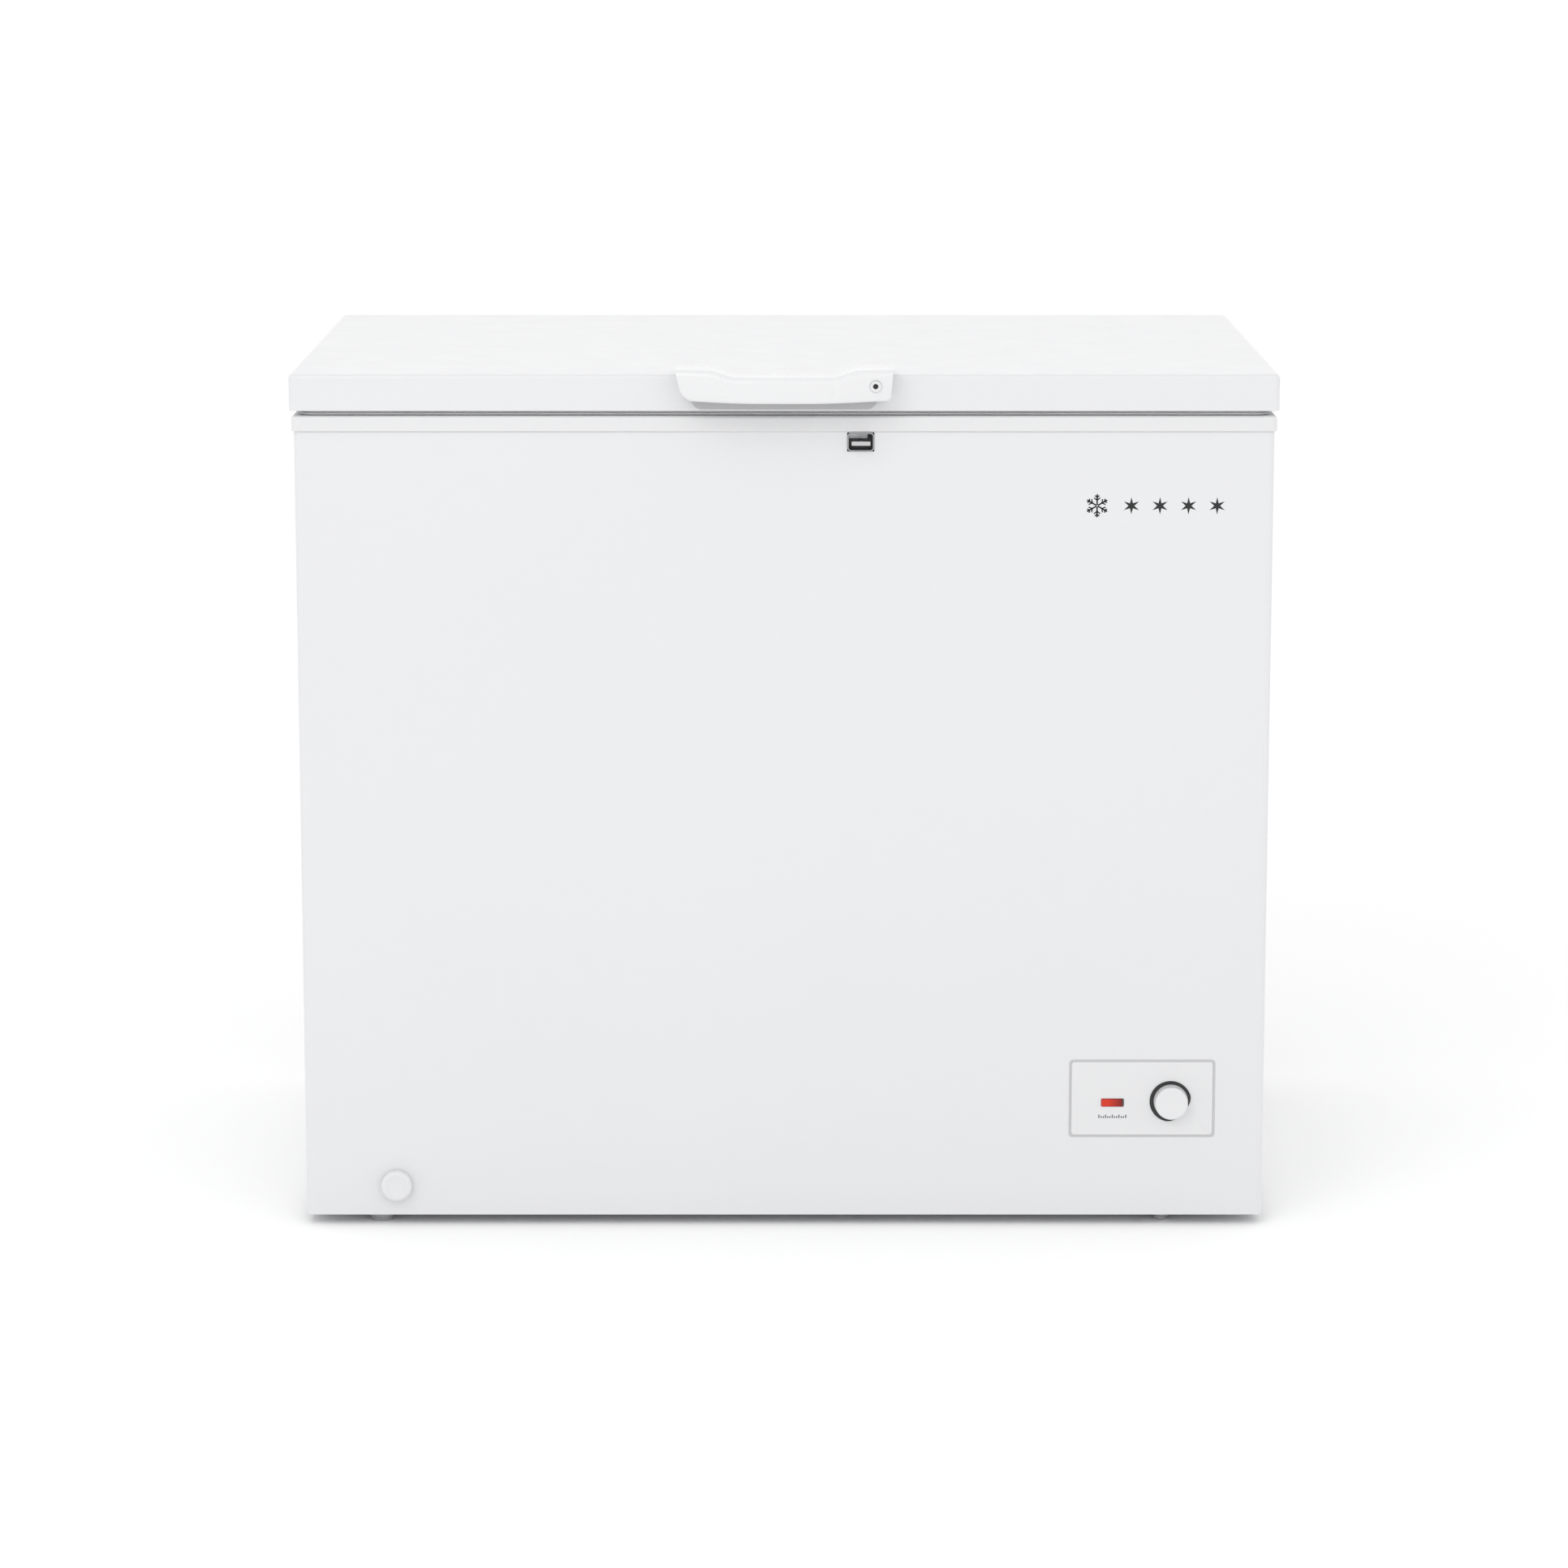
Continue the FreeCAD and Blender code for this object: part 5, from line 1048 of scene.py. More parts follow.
class FREEZER_OT_handle(bpy.types.Operator):
    """Bowed hood with an ear at each end, its grip plate and screws"""

    bl_idname = "freezer.handle"
    bl_label = "Handle"

    EAR = 0.030
    SLOPE = 0.030
    LIP = 0.0035
    BOW = 0.012
    RIDGE = 0.0006
    LIFT = 0.0015
    FLAT_LOWER = 0.03
    FLAT_SIDE = 0.05
    SLANT = {-1: 0.0065, 1: 0.0027}
    LOWER_CORNER = {-1: 0.011, 1: 0.004}

    def section(self, x, solid):
        """Points of the hood's wall at one station, from the lid round the front."""
        wall, edge = sizes().hood_wall, sizes().hood_edge
        half = HOOD_HIGH.x
        side = -1 if x < 0 else 1
        away = abs(x)
        front, top, low = LID_LOW.y, LID_HIGH.z, HOOD_LOW.z
        radius = (half * half + self.BOW * self.BOW) / (2 * self.BOW)
        face = HOOD_LOW.y + radius - sqrt(radius * radius - x * x)
        ear = smooth_step(away, half - self.EAR - self.SLOPE, half - self.EAR)
        crest = top + self.RIDGE + (HOOD_HIGH.z - top - self.RIDGE) * ear
        rear = front + self.LIP + (HOOD_HIGH.y - front - self.LIP) * ear
        corner = self.LOWER_CORNER[side]
        past = max(away - (half - corner), 0)
        lower = low + self.LIFT * smooth_step(away, self.FLAT_LOWER, half)
        lower += corner - sqrt(max(corner * corner - past * past, 0))
        ceiling = lower if solid else top - wall
        chin, soft = face + wall, 0.0005
        points = [(rear, top + TINY), (rear, crest - 0.0006), (rear - 0.0003, crest - 0.0002),
                  (rear - 0.0008, crest)]
        points += arc(face + edge, crest - edge, edge, 90, 180, 6)
        points += [(face + 0.0012, lower + 0.003), (face + 0.0018, lower + 0.001),
                   (face + 0.0028, lower), (chin, lower), (chin + soft, ceiling),
                   (front - TINY, ceiling), (front - TINY, top + TINY)]
        lean = self.SLANT[side] * smooth_step(away, self.FLAT_SIDE, half)
        high = HOOD_HIGH.z
        return [Vector((x - side * lean * (high - z) / (high - low), y, z)) for y, z in points]

    def execute(self, context):
        half, wall = HOOD_HIGH.x, sizes().hood_wall
        inner = half - wall
        pitch, seam = 0.004, 0.0005
        count = int((inner - seam) / pitch)
        stations = [(step * pitch, False) for step in range(-count, count + 1)]
        for side in (-1, 1):
            stations.append((side * (inner - seam), False))
            for away in (inner, half - 0.0022, half - 0.0012, half - seam, half - 0.0001, half):
                stations.append((side * away, True))
        stations.sort(key=lambda station: station[0])
        form = bridge(bmesh.new(), [self.section(x, solid) for x, solid in stations])
        centre = middle(BARREL_LOW, BARREL_HIGH)
        clearance, past, seat = 0.0003, 0.03, 0.012
        reach = (BARREL_HIGH.x - BARREL_LOW.x) / 2 + clearance
        bore = lathe([(0, -past), (reach, -past), (reach, 0.005), (0, 0.005)],
                     (centre.x, BARREL_LOW.y + seat, centre.z), BACKWARD, 40)
        cutter = new_object("barrel_bore", mesh_of(bore))
        piece("handle_hood", form, "lid", "handle_plastic", ("handle",), cutter=cutter, level=False)
        # The grip plate seen under the hood is grey partly as painted shade: its grey stands in for
        # the shade under the hood.
        refined("handle_base", "lid", "grey_plastic", 0.0008)
        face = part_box("handle_base")[0].y
        screws("grip_screws", "handle_screws", seats("handle_screws", face, 3), FORWARD, "lid")
        return {"FINISHED"}


class FREEZER_OT_lock(bpy.types.Operator):
    """Key barrel, cam, and the catch with its headed stud"""

    bl_idname = "freezer.lock"
    bl_label = "Key lock"

    def execute(self, context):
        self.barrel()
        refined("lock_cam", "lock", "lock_chrome", 0.0004)
        self.catch()
        return {"FINISHED"}

    def barrel(self):
        """Face of the lock, with a keyway sunk in its middle."""
        centre = middle(BARREL_LOW, BARREL_HIGH)
        reach = (BARREL_HIGH.x - BARREL_LOW.x) / 2
        back = BARREL_HIGH.y - BARREL_LOW.y
        shank, shoulder, lip, hole = reach * 0.8, 0.006, 0.0006, 0.0024
        profile = [(0, back), (shank, back), (shank, shoulder), (reach, shoulder), (reach, lip),
                   (reach - 0.0005, 0), (reach - 0.0016, 0), (reach - 0.0020, lip),
                   (hole + 0.0002, lip + 0.0001), (hole, 2 * lip), (hole, 0.005), (0, 0.005)]
        start = (centre.x, BARREL_LOW.y, centre.z)
        form = lathe(profile, start, BACKWARD, 40)
        piece("lock_face", form, "lock", "lock_chrome", ("lock_barrel",), "handle_plastic")
        # Painted shade: the key slot and the plug behind it are near black, for the shade inside the
        # keyhole.
        tall, near, far = 0.0009, 0.0004, 0.003
        slot = block((centre.x - hole, BARREL_LOW.y + near, centre.z - tall),
                     (centre.x + hole, BARREL_LOW.y + far, centre.z + tall))
        wide, front, rear = hole + 0.0002, 0.0016, 0.0045
        plug = lathe([(0, front), (wide, front), (wide, rear), (0, rear)], start, BACKWARD, 32,
                     slot)
        piece("lock_keyway", plug, "lock", "lock_chrome", look="keyway_shade", bevel=0.0002)

    def catch(self):
        """Pocket, its rim, three ramps inside it and the stud."""
        left, right = CATCH_LOW.x, CATCH_HIGH.x
        low, high = CATCH_LOW.z, CATCH_HIGH.z
        face, back = FRONT - 0.0008, CATCH_HIGH.y
        wall, corner, bevel = 0.0015, 0.004, 0.0004
        rim_front, rim_back = face - 0.0001, face + 0.0006
        area = (left, right, low, high)
        profile = [(0, back, corner), (0, face + bevel, corner), (-bevel, face, corner - bevel),
                   (-wall + bevel, face, corner - wall + bevel),
                   (-wall, face + bevel, corner - wall), (-wall, back - wall, corner - wall)]
        form = moulding(area, profile, front_point)
        # Painted shade: the inside of the pocket is near black, for the shade in the catch's hollow.
        piece("catch_pocket", form, "cabinet", "hinge_steel", ("catch_frame",), "catch_hollow_shade")
        rim = [(0, rim_back, corner), (0, rim_front, corner), (-wall, rim_front, corner - wall),
               (-wall, rim_back, corner - wall)]
        piece("catch_rim", moulding(area, rim, front_point, closed=True), "cabinet", "hinge_steel",
              look="catch_zinc", bevel=0.0002)
        ramps = bmesh.new()
        first, fall, run, free_side = 0.0012, 0.0016, 0.0022, 0.005
        for step in range(3):
            top = high - wall - fall * step
            block((left + wall, face + first + run * step, top - fall),
                  (right - wall - free_side, back - wall, top), ramps)
        piece("catch_ramps", ramps, "cabinet", "hinge_steel", look="catch_zinc", bevel=0.0002)
        self.stud(back - wall)

    def stud(self, root):
        """Headed stud on a short stem."""
        low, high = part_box("catch_stud")
        centre = middle(low, high)
        tall, thick, stem, hidden = 0.0040, 0.0022, 0.0014, 0.0002
        area = (low.x, high.x, centre.z - tall / 2, centre.z + tall / 2)
        face = low.y
        profile = [(-0.0005, face, 0.0003), (-0.0001, face + 0.0002, 0.0006),
                   (0, face + 0.0006, 0.0007), (0, face + thick - 0.0003, 0.0007),
                   (-0.0003, face + thick, 0.0005)]
        form = moulding(area, profile, front_point)
        lathe([(0, thick - hidden), (stem * 1.3, thick - hidden), (stem, thick + 0.001),
               (stem, root - face), (0, root - face)], (centre.x, face, centre.z), BACKWARD, 24,
              form)
        piece("catch_bar", form, "cabinet", "lock_chrome", ("catch_stud",), "bar_steel")


class FREEZER_OT_controls(bpy.types.Operator):
    """Facia with its rim, knob, crescent ring, red lens and tick marks"""

    bl_idname = "freezer.controls"
    bl_label = "Controls"

    def execute(self, context):
        refined("control_panel", "cabinet", "panel_plastic", 0.0013, segments=3)
        self.rim()
        self.knob()
        self.crescent()
        self.lens()
        self.ticks()
        return {"FINISHED"}

    def rim(self):
        """Thin grey ring that fills the seam between the facia and the sheet: painted shade of the
        gap.
        """
        area = (FACIA_LOW.x, FACIA_HIGH.x, FACIA_LOW.z, FACIA_HIGH.z)
        seam, corner, overlap = 0.001, 0.003, 0.0001
        wide = corner + seam
        face, root = FRONT, FRONT + 0.0012
        profile = [(overlap, root, corner), (overlap, face - 0.0001, corner),
                   (seam + 0.0003, face - 0.0003, wide), (seam + 0.0012, face - 0.0002, wide),
                   (seam + 0.0014, face - TINY, wide), (seam, root, wide)]
        piece("facia_seal", moulding(area, profile, front_point, closed=True), "cabinet",
              "grey_plastic", look="facia_seal")

    def knob(self):
        """Turned knob with a shallow dish in its face."""
        centre = middle(KNOB_LOW, KNOB_HIGH)
        reach = (KNOB_HIGH.x - KNOB_LOW.x) / 2
        tall = KNOB_HIGH.y - KNOB_LOW.y
        edge = sizes().knob_edge
        skirt, draft = 0.001, 0.0004
        profile = [(0, 0), (reach - skirt, 0), (reach - 0.0006, 0.0008),
                   (reach - draft, tall - edge)]
        profile += arc(reach - draft - edge, tall - edge, edge, 0, 90, 6)[1:]
        profile += [(reach - 0.005, tall - 0.0001), (reach - 0.008, tall - 0.0005),
                    (0, tall - 0.0009)]
        form = lathe(profile, (centre.x, KNOB_HIGH.y, centre.z), FORWARD, 96)
        piece("temperature_knob", form, "knob", "knob_plastic", ("thermostat_knob",))

    def crescent(self):
        """Dark ring that tapers to nothing at lower right, partly a real dark ring and partly
        painted shade of the well round the knob, which makes it widest on the left.
        """
        centre = middle(KNOB_LOW, KNOB_HIGH)
        centre.y = FACIA_LOW.y
        clearance, thinnest, widest, bevel = 0.0004, 0.0002, 0.0037, 0.00005
        inner = (KNOB_HIGH.x - KNOB_LOW.x) / 2 + clearance
        proud = Vector((0, -0.0007, 0))
        start, end, steps = radians(-18), radians(298), 96
        first_taper, last_taper, fullness = 0.10, 0.12, 0.7
        loops = []
        for step in range(steps + 1):
            share = step / steps
            angle = start + (end - start) * share
            taper = (min(share / first_taper, 1) ** fullness
                     * min((1 - share) / last_taper, 1) ** fullness)
            # painted shade: the ring swells towards the left, where the well round the knob is in
            # shade
            painted_shade_swell = 0.90 + 0.10 * cos(angle - pi)
            outer = inner + thinnest + widest * taper * painted_shade_swell
            spoke = Vector((cos(angle), 0, sin(angle)))
            loops.append([centre + spoke * inner, centre + spoke * outer,
                          centre + spoke * (outer - bevel) + proud,
                          centre + spoke * (inner + bevel) + proud])
        form = bridge(bmesh.new(), loops)
        piece("knob_crescent", form, "cabinet", "dark_plastic", ("knob_ring",))

    def lens(self):
        """Lens of the lamp, with soft edges."""
        area = (LENS_LOW.x, LENS_HIGH.x, LENS_LOW.z, LENS_HIGH.z)
        face, back = LENS_LOW.y, LENS_HIGH.y
        profile = cornered([(0, back), (0, face + 0.0005), (-0.0002, face + 0.0002),
                            (-0.0006, face), (-0.0014, face - 0.0001)], 0.0006)
        piece("lamp_lens", moulding(area, profile, front_point), "cabinet", "lens_red",
              ("indicator_lens",))

    def ticks(self):
        """Row of printed ticks under the lens, every third one taller."""
        face = FACIA_LOW.y
        centre = middle(LENS_LOW, LENS_HIGH)
        base, pitch, count = centre.z - 0.0155, 0.0022, 13
        half, tall_tick, short_tick = 0.00055, 0.0034, 0.0020
        form = bmesh.new()
        for step in range(count):
            x = centre.x + (step - (count - 1) / 2) * pitch
            tall = tall_tick if step % 3 == 0 else short_tick
            block((x - half, face - 0.00006, base), (x + half, face + 0.00005, base + tall), form)
        piece("scale_ticks", form, "cabinet", "dark_plastic", look="panel_print")


class FREEZER_OT_symbols(bpy.types.Operator):
    """Printed snowflake and four cold stars on the front"""

    bl_idname = "freezer.symbols"
    bl_label = "Cold symbols"

    def execute(self, context):
        tall = sizes().mark_height
        beside, below, flake_gap, star_gap, pitch = 0.0046, 0.071, 0.055, 0.022, 0.0275
        x = (FACIA_LOW.x + FACIA_HIGH.x) / 2 + beside
        z = COLLAR_LOW.z - below
        form = bmesh.new()
        self.snowflake(form, x - flake_gap, z, tall * 0.56)
        for step in range(4):
            self.star(form, x - star_gap + pitch * step, z, tall * 0.42)
        piece("cold_symbols", form, "cabinet", "shell_paint", look="print")
        return {"FINISHED"}

    def slab(self, form, outline):
        """Thin printed shape from an outline on the front."""
        bridge(form, [[front_point(u, v, level) for u, v in outline]
                      for level in (FRONT + 0.00003, FRONT - 0.00006)])

    def bar(self, form, start, end, width):
        """Straight printed line between two points."""
        run = (end - start).normalized()
        side = Vector((-run.y, run.x)) * width / 2
        corners = [start - side, end - side, end + side, start + side]
        self.slab(form, [(corner.x, corner.y) for corner in corners])

    def snowflake(self, form, x, z, reach):
        """Six arms with two pairs of twigs on each."""
        stem, twig, hub, spread = 0.0015, 0.0012, 0.0007, radians(52)
        centre = Vector((x, z))
        for step in range(6):
            angle = pi / 6 + pi / 3 * step
            ray = Vector((cos(angle), sin(angle)))
            self.bar(form, centre + ray * hub, centre + ray * reach, stem)
            for share, length in ((0.48, 0.34), (0.74, 0.24)):
                fork = centre + ray * reach * share
                for way in (-1, 1):
                    turned = angle + way * spread
                    tip = fork + Vector((cos(turned), sin(turned))) * reach * length
                    self.bar(form, fork, tip, twig)

    def star(self, form, x, z, reach):
        """Six-pointed cold star."""
        waist = reach * 0.34
        outline = []
        for step in range(12):
            angle = pi / 2 + pi / 6 * step
            radius = reach if step % 2 == 0 else waist
            outline.append((x + radius * cos(angle), z + radius * sin(angle)))
        self.slab(form, outline)


class FREEZER_OT_drain(bpy.types.Operator):
    """Drain cap at the front and plug in the tub"""

    bl_idname = "freezer.drain"
    bl_label = "Drain"

    def execute(self, context):
        self.cap()
        self.plug()
        return {"FINISHED"}

    def cap(self):
        """Cap over the front end of the drain tube."""
        low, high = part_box("drain_cap")
        centre = middle(low, high)
        reach, tall = (high.x - low.x) / 2, FRONT - low.y
        stem, depth, bevel, lift, dish, edge = 0.007, 0.0118, 0.001, 0.0003, 0.0009, 0.0036
        profile = [(0, -depth), (stem - bevel, -depth), (stem, bevel - depth), (stem, lift),
                   (reach - lift, lift), (reach, 0.0008)]
        profile += arc(reach - edge, tall - edge, edge, 0, 90, 6)
        profile += [(reach - 0.0055, tall), (reach - 0.0066, tall - 0.0007), (0.003, tall - dish),
                    (0, tall - dish)]
        form = lathe(profile, (centre.x, FRONT, centre.z), FORWARD, 72)
        piece("drain_cover", form, "drain_cap", "drain_plastic", ("drain_cap",))

    def plug(self):
        """Plug in the floor of the tub, with a neck to hold it by."""
        low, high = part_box("drain_plug")
        centre = middle(low, high)
        reach = (high.x - low.x) / 2
        floor = LINER_LOW.z + 0.0009
        foot, top = low.z - floor, high.z - floor
        stem, bevel = 0.0068, 0.0008
        profile = [(0, foot), (stem - bevel, foot), (stem, foot + 0.001), (stem, -0.006),
                   (0.0063, -0.0052), (stem, -0.0044), (stem, 0), (reach - 0.0005, 0),
                   (reach, 0.0005), (reach, 0.0018), (reach - bevel, 0.0026), (0.0045, 0.0032),
                   (0.0034, 0.0045), (0.003, 0.0085), (0.0038, top - 0.003), (0.005, top - 0.0016),
                   (0.0048, top - 0.0005), (0.004, top), (0, top)]
        form = lathe(profile, (centre.x, centre.y, floor), UPWARD, 48)
        piece("tub_plug", form, "drain_plug", "drain_plastic", ("drain_plug",))


class FREEZER_OT_feet(bpy.types.Operator):
    """Four tapered feet with a ribbed rim"""

    bl_idname = "freezer.feet"
    bl_label = "Feet"

    def execute(self, context):
        for end in ("front", "rear"):
            for side in ("left", "right"):
                self.foot(f"foot_{end}_{side}")
        return {"FINISHED"}

    def foot(self, node):
        """One foot, narrow at the floor."""
        low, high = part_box(node)
        centre = middle(low, high)
        reach = (high.x - low.x) / 2
        tall = high.z - low.z
        hollow = 0.0002
        side = [(0.0042, hollow), (0.0038, 0), (0.0032, 0), (0.0028, 0.0005),
                (0.0018, tall * 0.35), (0.0022, tall * 0.40), (0.0012, tall * 0.46),
                (0.0004, tall * 0.8), (0, tall * 0.86), (0, tall)]
        profile = [(0, hollow), *((reach - inset, level) for inset, level in side), (0, tall)]
        form = lathe(profile, (centre.x, centre.y, low.z), UPWARD, 48)
        piece(node + "_turned", form, "cabinet", "foot_plastic", (node,))


class FREEZER_OT_bay(bpy.types.Operator):
    """Rear cover and side grille with pressed louvres, gland and screws"""

    bl_idname = "freezer.bay"
    bl_label = "Compressor bay covers"

    PITCH = 0.014
    WIDE = 0.118
    TALL = 0.0065
    ABOVE_MIDDLE = 0.020

    def hood(self, wide, tall, depth):
        """Pressed louvre: a half-round hood, open below, facing away from the sheet."""
        skin, steps, shoulder, start, turn = 0.0007, 8, 0.08, 4, 86
        loops = []
        for share in (-0.5, -0.49, -0.46, -0.42, 0.42, 0.46, 0.49, 0.5):
            fall = max(min((0.5 - abs(share)) / shoulder, 1) ** 0.5, 0.06)
            angles = [radians(start + turn * step / steps) for step in range(steps + 1)]
            loop = [(depth * sin(angle) * fall, tall * cos(angle)) for angle in angles]
            loop += [((depth - skin) * sin(angle) * fall, tall * cos(angle))
                     for angle in reversed(angles)]
            loops.append((share * wide, loop))
        return loops

    def execute(self, context):
        refined("rear_cover", "cabinet", "zinc_sheet", 0.0003)
        refined("side_grille", "cabinet", "panel_plastic", 0.0005)
        centre = middle(COVER_LOW, COVER_HIGH)
        place = Vector((centre.x, COVER_HIGH.y, centre.z + self.ABOVE_MIDDLE))
        self.louvres("cover_louvres", 11, place, BACKWARD, 0.0042, "zinc_sheet")
        centre = middle(GRILLE_LOW, GRILLE_HIGH)
        place = Vector((GRILLE_HIGH.x, centre.y, centre.z))
        self.louvres("grille_louvres", 7, place, (1, 0, 0), 0.0024, "panel_plastic")
        refined("cord_gland", "cabinet", "black_rubber", 0.0005)
        spots = seats("rear_cover_screws", COVER_HIGH.y, 6)
        screws("cover_screws", "rear_cover_screws", spots, BACKWARD, "cabinet")
        return {"FINISHED"}

    def louvres(self, name, count, centre, out, depth, slot):
        """A ladder of louvre hoods over the slots, in a row upward."""
        sunk, lowered = 0.0001, 0.0025
        out = Vector(out)
        side = Vector((out.y, out.x, 0))
        start = Vector((centre.x, centre.y, centre.z - (count - 1) / 2 * self.PITCH))
        loops = [[start + side * along + out * (away - sunk) + Vector((0, 0, up - lowered))
                  for away, up in loop] for along, loop in self.hood(self.WIDE, self.TALL, depth)]
        form = row_of(bridge(bmesh.new(), loops), count, (0, 0, self.PITCH), slot)
        piece(name, form, "cabinet", slot)


class FREEZER_OT_hinges(bpy.types.Operator):
    """Hinge plates, pins, torsion springs and screws"""

    bl_idname = "freezer.hinges"
    bl_label = "Hinges"

    def execute(self, context):
        for side in ("left", "right"):
            for node, body in (("hinge_bracket", "cabinet"), ("hinge_pin", "cabinet"),
                               ("lid_leaf", "lid")):
                refined(f"{node}_{side}", body, "hinge_steel", 0.0003)
            self.spring(side)
        plate = 0.002
        for name, node, count, face, body in (
            ("bracket_fixings", "bracket_screws", 8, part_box("hinge_bracket_left")[0].y, "cabinet"),
            ("leaf_fixings", "leaf_screws", 4, LID_HIGH.y, "lid"),
        ):
            screws(name, node, seats(node, face + plate, count), BACKWARD, body)
        return {"FINISHED"}

    def spring(self, side):
        """Torsion spring with one leg on the bracket."""
        node = f"hinge_spring_{side}"
        low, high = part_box(node)
        centre = middle(low, high)
        wire, turns, steps = 0.0016, 8.5, 20
        radius = (high.y - low.y) / 2 - wire / 2
        length = (high.x - low.x) - wire
        points = []
        total = int(turns * steps)
        for step in range(total + 1):
            angle = 2 * pi * step / steps
            points.append(Vector((low.x + wire / 2 + length * step / total,
                                  centre.y - radius * cos(angle), centre.z + radius * sin(angle))))
        leg = Vector((0, 0, -0.014))
        points.insert(0, points[0] + leg)
        form = wires([(points, False, 1, STILL)], wire, 0.0, "spring_steel", 10)
        piece(f"spring_{side}", form, "cabinet", "spring_steel", (node,))


class FREEZER_OT_basket(bpy.types.Operator):
    """Coated wire basket that hangs on the ledge of the collar"""

    bl_idname = "freezer.basket"
    bl_label = "Wire basket"

    def execute(self, context):
        thick, thin = sizes().frame_wire, sizes().mesh_wire
        overhang, drop, sunk = 0.0162, 0.011, 0.0002
        left, right = BASKET_LOW.x + thick / 2, BASKET_HIGH.x - thick / 2
        hang_near, hang_far = BASKET_LOW.y + thick / 2, BASKET_HIGH.y - thick / 2
        near, far = BASKET_LOW.y + overhang, BASKET_HIGH.y - overhang
        base = BASKET_LOW.z + thick / 2
        rail = BASKET_HIGH.z - thick / 2 - sunk
        rim = rail - drop
        waist = (rim + base) / 2

        def ring(inset, level):
            """Corners of a rectangle inside the basket's outline."""
            return [(left + inset, near + inset, level), (right - inset, near + inset, level),
                    (right - inset, far - inset, level), (left + inset, far - inset, level)]

        rows = [(ring(0, rim), True, 1, STILL), (ring(0, base), True, 1, STILL)]
        rail_end, first_hook, hooks = 0.004, 0.015, 4
        hook = left + first_hook
        pitch = (right - left - 2 * first_hook) / (hooks - 1)
        for hang, edge in ((hang_near, near), (hang_far, far)):
            rows.append(([(left + rail_end, hang, rail), (right - rail_end, hang, rail)],
                         False, 1, STILL))
            rows.append(([(hook, hang, rail), (hook, edge, rail), (hook, edge, rim - 0.002)],
                         False, hooks, (pitch, 0, 0)))
        form = wires(rows, thick, 0.012, "wire_coating", 12)
        piece("basket_frame", form, "basket", "wire_coating", ("basket",))

        inset, margin = thin / 2, 0.01
        floor = base + thin * 0.7
        across, along = sizes().wires_across, sizes().wires_along
        pitch_x = (right - left - 2 * margin) / (across - 1)
        pitch_y = (far - near - 2 * margin) / (along - 1)
        x, y = left + margin, near + margin
        u_long = [(x, near + inset, rim), (x, near + inset, base), (x, far - inset, base),
                  (x, far - inset, rim)]
        u_short = [(left + inset, y, rim), (left + inset, y, floor), (right - inset, y, floor),
                   (right - inset, y, rim)]
        rows = [(u_long, False, across, (pitch_x, 0, 0)), (u_short, False, along, (0, pitch_y, 0)),
                (ring(inset, waist), True, 1, STILL)]
        form = wires(rows, thin, 0.008, "wire_coating", 8)
        piece("basket_mesh", form, "basket", "wire_coating")
        return {"FINISHED"}


class FREEZER_OT_compressor(bpy.types.Operator):
    """Domed compressor with its weld flange and mounting plate, and its relay cover"""

    bl_idname = "freezer.compressor"
    bl_label = "Compressor"

    def execute(self, context):
        low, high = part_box("compressor_shell")
        centre = middle(low, high)
        lip, foot, bevel, corner = 0.004, 0.003, 0.0004, 0.014
        shoulder, round_out, lower_round, upper_round = 0.028, 0.027, 0.030, 0.036
        leg = (high.x - low.x) / 2
        reach = leg - lip - 0.001
        base, tall = low.z + foot, high.z - low.z - foot
        wall, seam = reach - 0.001, tall / 2
        profile = [(0, 0)]
        profile += arc(reach - shoulder, lower_round, round_out, -90, 0, 8, lower_round)
        profile += [(wall, seam - lip), (wall + lip, seam - lip), (reach + lip, seam - lip / 2),
                    (wall + lip, seam), (wall, seam)]
        profile += arc(reach - shoulder, tall - upper_round, round_out, 0, 90, 8, upper_round)
        profile.append((0, tall))
        form = lathe(profile, (centre.x, centre.y, base), UPWARD, 72)
        plate = moulding((centre.x - leg, centre.x + leg, centre.y - leg, centre.y + leg),
                         cornered([(-bevel, low.z), (0, low.z + bevel), (0, base - bevel),
                                   (-bevel, base)], corner), form=form)
        piece("compressor_dome", plate, "cabinet", "compressor_black", ("compressor_shell",))
        refined("relay_cover", "cabinet", "dark_plastic", 0.003, segments=4)
        return {"FINISHED"}


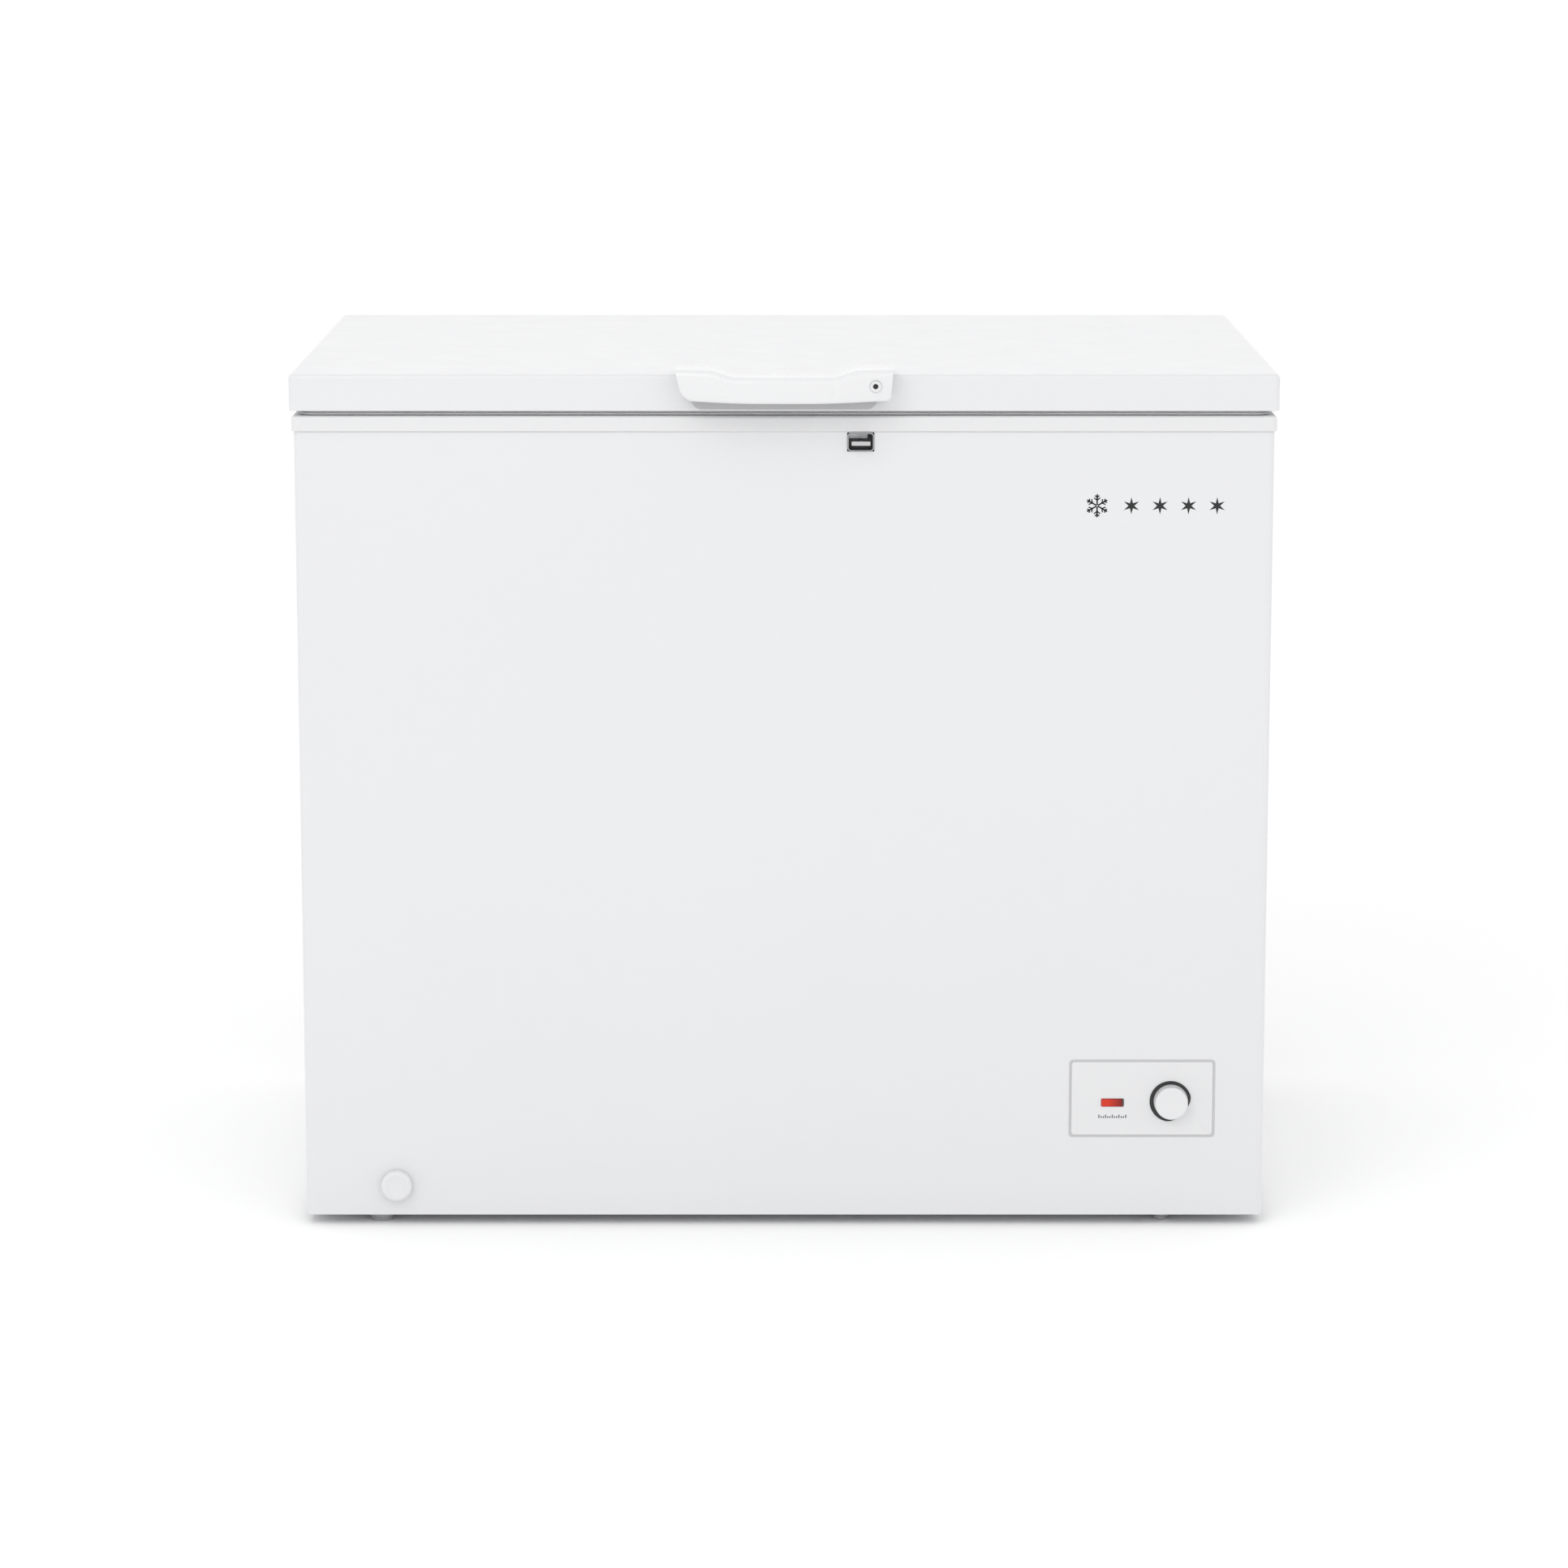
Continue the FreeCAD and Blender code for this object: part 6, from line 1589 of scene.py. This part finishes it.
class FREEZER_OT_stage(bpy.types.Operator):
    """Pale floor, soft studio light and the camera"""

    bl_idname = "freezer.stage"
    bl_label = "Stage"

    FLOOR_REACH = 40.0
    FLOOR_WHITE = (0.99, 0.99, 0.99, 1)
    AIM = Vector((0, 0, 0.5))
    LAMPS = (("key_softbox", (-1.3, -2.8, 2.8), 1.8, 17),
             ("fill_softbox", (1.6, -3.0, 2.2), 2.0, 5))
    SKY_LOW, SKY_HIGH = 1.18, 0.92
    SENSOR, FOCAL, SHIFT, FAR_LIMIT = 36, 113.65, -0.0518, 200
    CAMERA_SIDE, CAMERA_AWAY, CAMERA_UP, CAMERA_TILT = -0.0002, 4.7188, 1.3518, 0.1738

    def execute(self, context):
        self.floor()
        self.light()
        self.camera()
        return {"FINISHED"}

    def floor(self):
        """Plain floor that reaches past every view."""
        mesh = bpy.data.meshes.new("studio_floor")
        reach = self.FLOOR_REACH
        corners = [(-reach, -reach, 0), (reach, -reach, 0), (reach, reach, 0), (-reach, reach, 0)]
        mesh.from_pydata(corners, [], [(0, 1, 2, 3)])
        obj = new_object("studio_floor", mesh)
        material = bpy.data.materials.new("studio_floor")
        material.use_nodes = True
        shader = material.node_tree.nodes["Principled BSDF"]
        shader.inputs["Base Color"].default_value = self.FLOOR_WHITE
        shader.inputs["Roughness"].default_value = 0.9
        shader.inputs["Specular IOR Level"].default_value = 0.1
        mesh.materials.append(material)

    def light(self):
        """White surroundings, a little dimmer overhead, and two soft lamps."""
        world = bpy.data.worlds.new("studio_white")
        bpy.context.scene.world = world
        world.use_nodes = True
        tree = world.node_tree
        height = split(tree, new_node(tree, "ShaderNodeTexCoord").outputs["Generated"])["Z"]
        strength = ramp(tree, height, 0.1, 1.0, self.SKY_LOW, self.SKY_HIGH)
        link(tree, strength, tree.nodes["Background"].inputs["Strength"])
        tree.nodes["Background"].inputs["Color"].default_value = (1, 1, 1, 1)
        for name, place, size, power in self.LAMPS:
            lamp = bpy.data.lights.new(name, "AREA")
            lamp.shape = "SQUARE"
            lamp.size = size
            lamp.energy = power
            obj = new_object(name, lamp)
            obj.location = place
            obj.rotation_euler = (self.AIM - obj.location).to_track_quat("-Z", "Y").to_euler()
        bpy.context.scene.view_settings.view_transform = "Standard"

    def camera(self):
        """Front view from a little above the lid."""
        lens = bpy.data.cameras.new("front_view")
        lens.sensor_width = self.SENSOR
        lens.lens = self.FOCAL
        lens.shift_y = self.SHIFT
        lens.clip_end = self.FAR_LIMIT
        obj = new_object("front_view", lens)
        obj.location = (self.CAMERA_SIDE, LID_LOW.y - self.CAMERA_AWAY, self.CAMERA_UP)
        obj.rotation_euler = Euler((pi / 2 - self.CAMERA_TILT, 0, 0))
        bpy.context.scene.camera = obj


OPERATORS = (
    FREEZER_OT_finishes, FREEZER_OT_stage, FREEZER_OT_cabinet, FREEZER_OT_collar, FREEZER_OT_lid,
    FREEZER_OT_handle, FREEZER_OT_lock, FREEZER_OT_controls, FREEZER_OT_symbols, FREEZER_OT_drain,
    FREEZER_OT_feet, FREEZER_OT_bay, FREEZER_OT_hinges, FREEZER_OT_basket, FREEZER_OT_compressor,
)


class FREEZER_PT_build(bpy.types.Panel):
    """Lists the steps that build the freezer"""

    bl_idname = "FREEZER_PT_build"
    bl_label = "Chest freezer"
    bl_space_type = "VIEW_3D"
    bl_region_type = "UI"
    bl_category = "Freezer"

    def draw(self, context):
        for operator in OPERATORS:
            self.layout.operator(operator.bl_idname)


CLASSES = (FreezerSizes, FreezerColours, *OPERATORS, FREEZER_PT_build)


def register():
    for item in CLASSES:
        bpy.utils.register_class(item)
    bpy.types.Scene.freezer_sizes = PointerProperty(type=FreezerSizes)
    bpy.types.Scene.freezer_colours = PointerProperty(type=FreezerColours)


def unregister():
    del bpy.types.Scene.freezer_sizes
    del bpy.types.Scene.freezer_colours
    for item in reversed(CLASSES):
        bpy.utils.unregister_class(item)


def main():
    """Build every piece in order."""
    register()
    for operator in OPERATORS:
        group, name = operator.bl_idname.split(".")
        getattr(getattr(bpy.ops, group), name)()


if __name__ == "__main__":
    main()
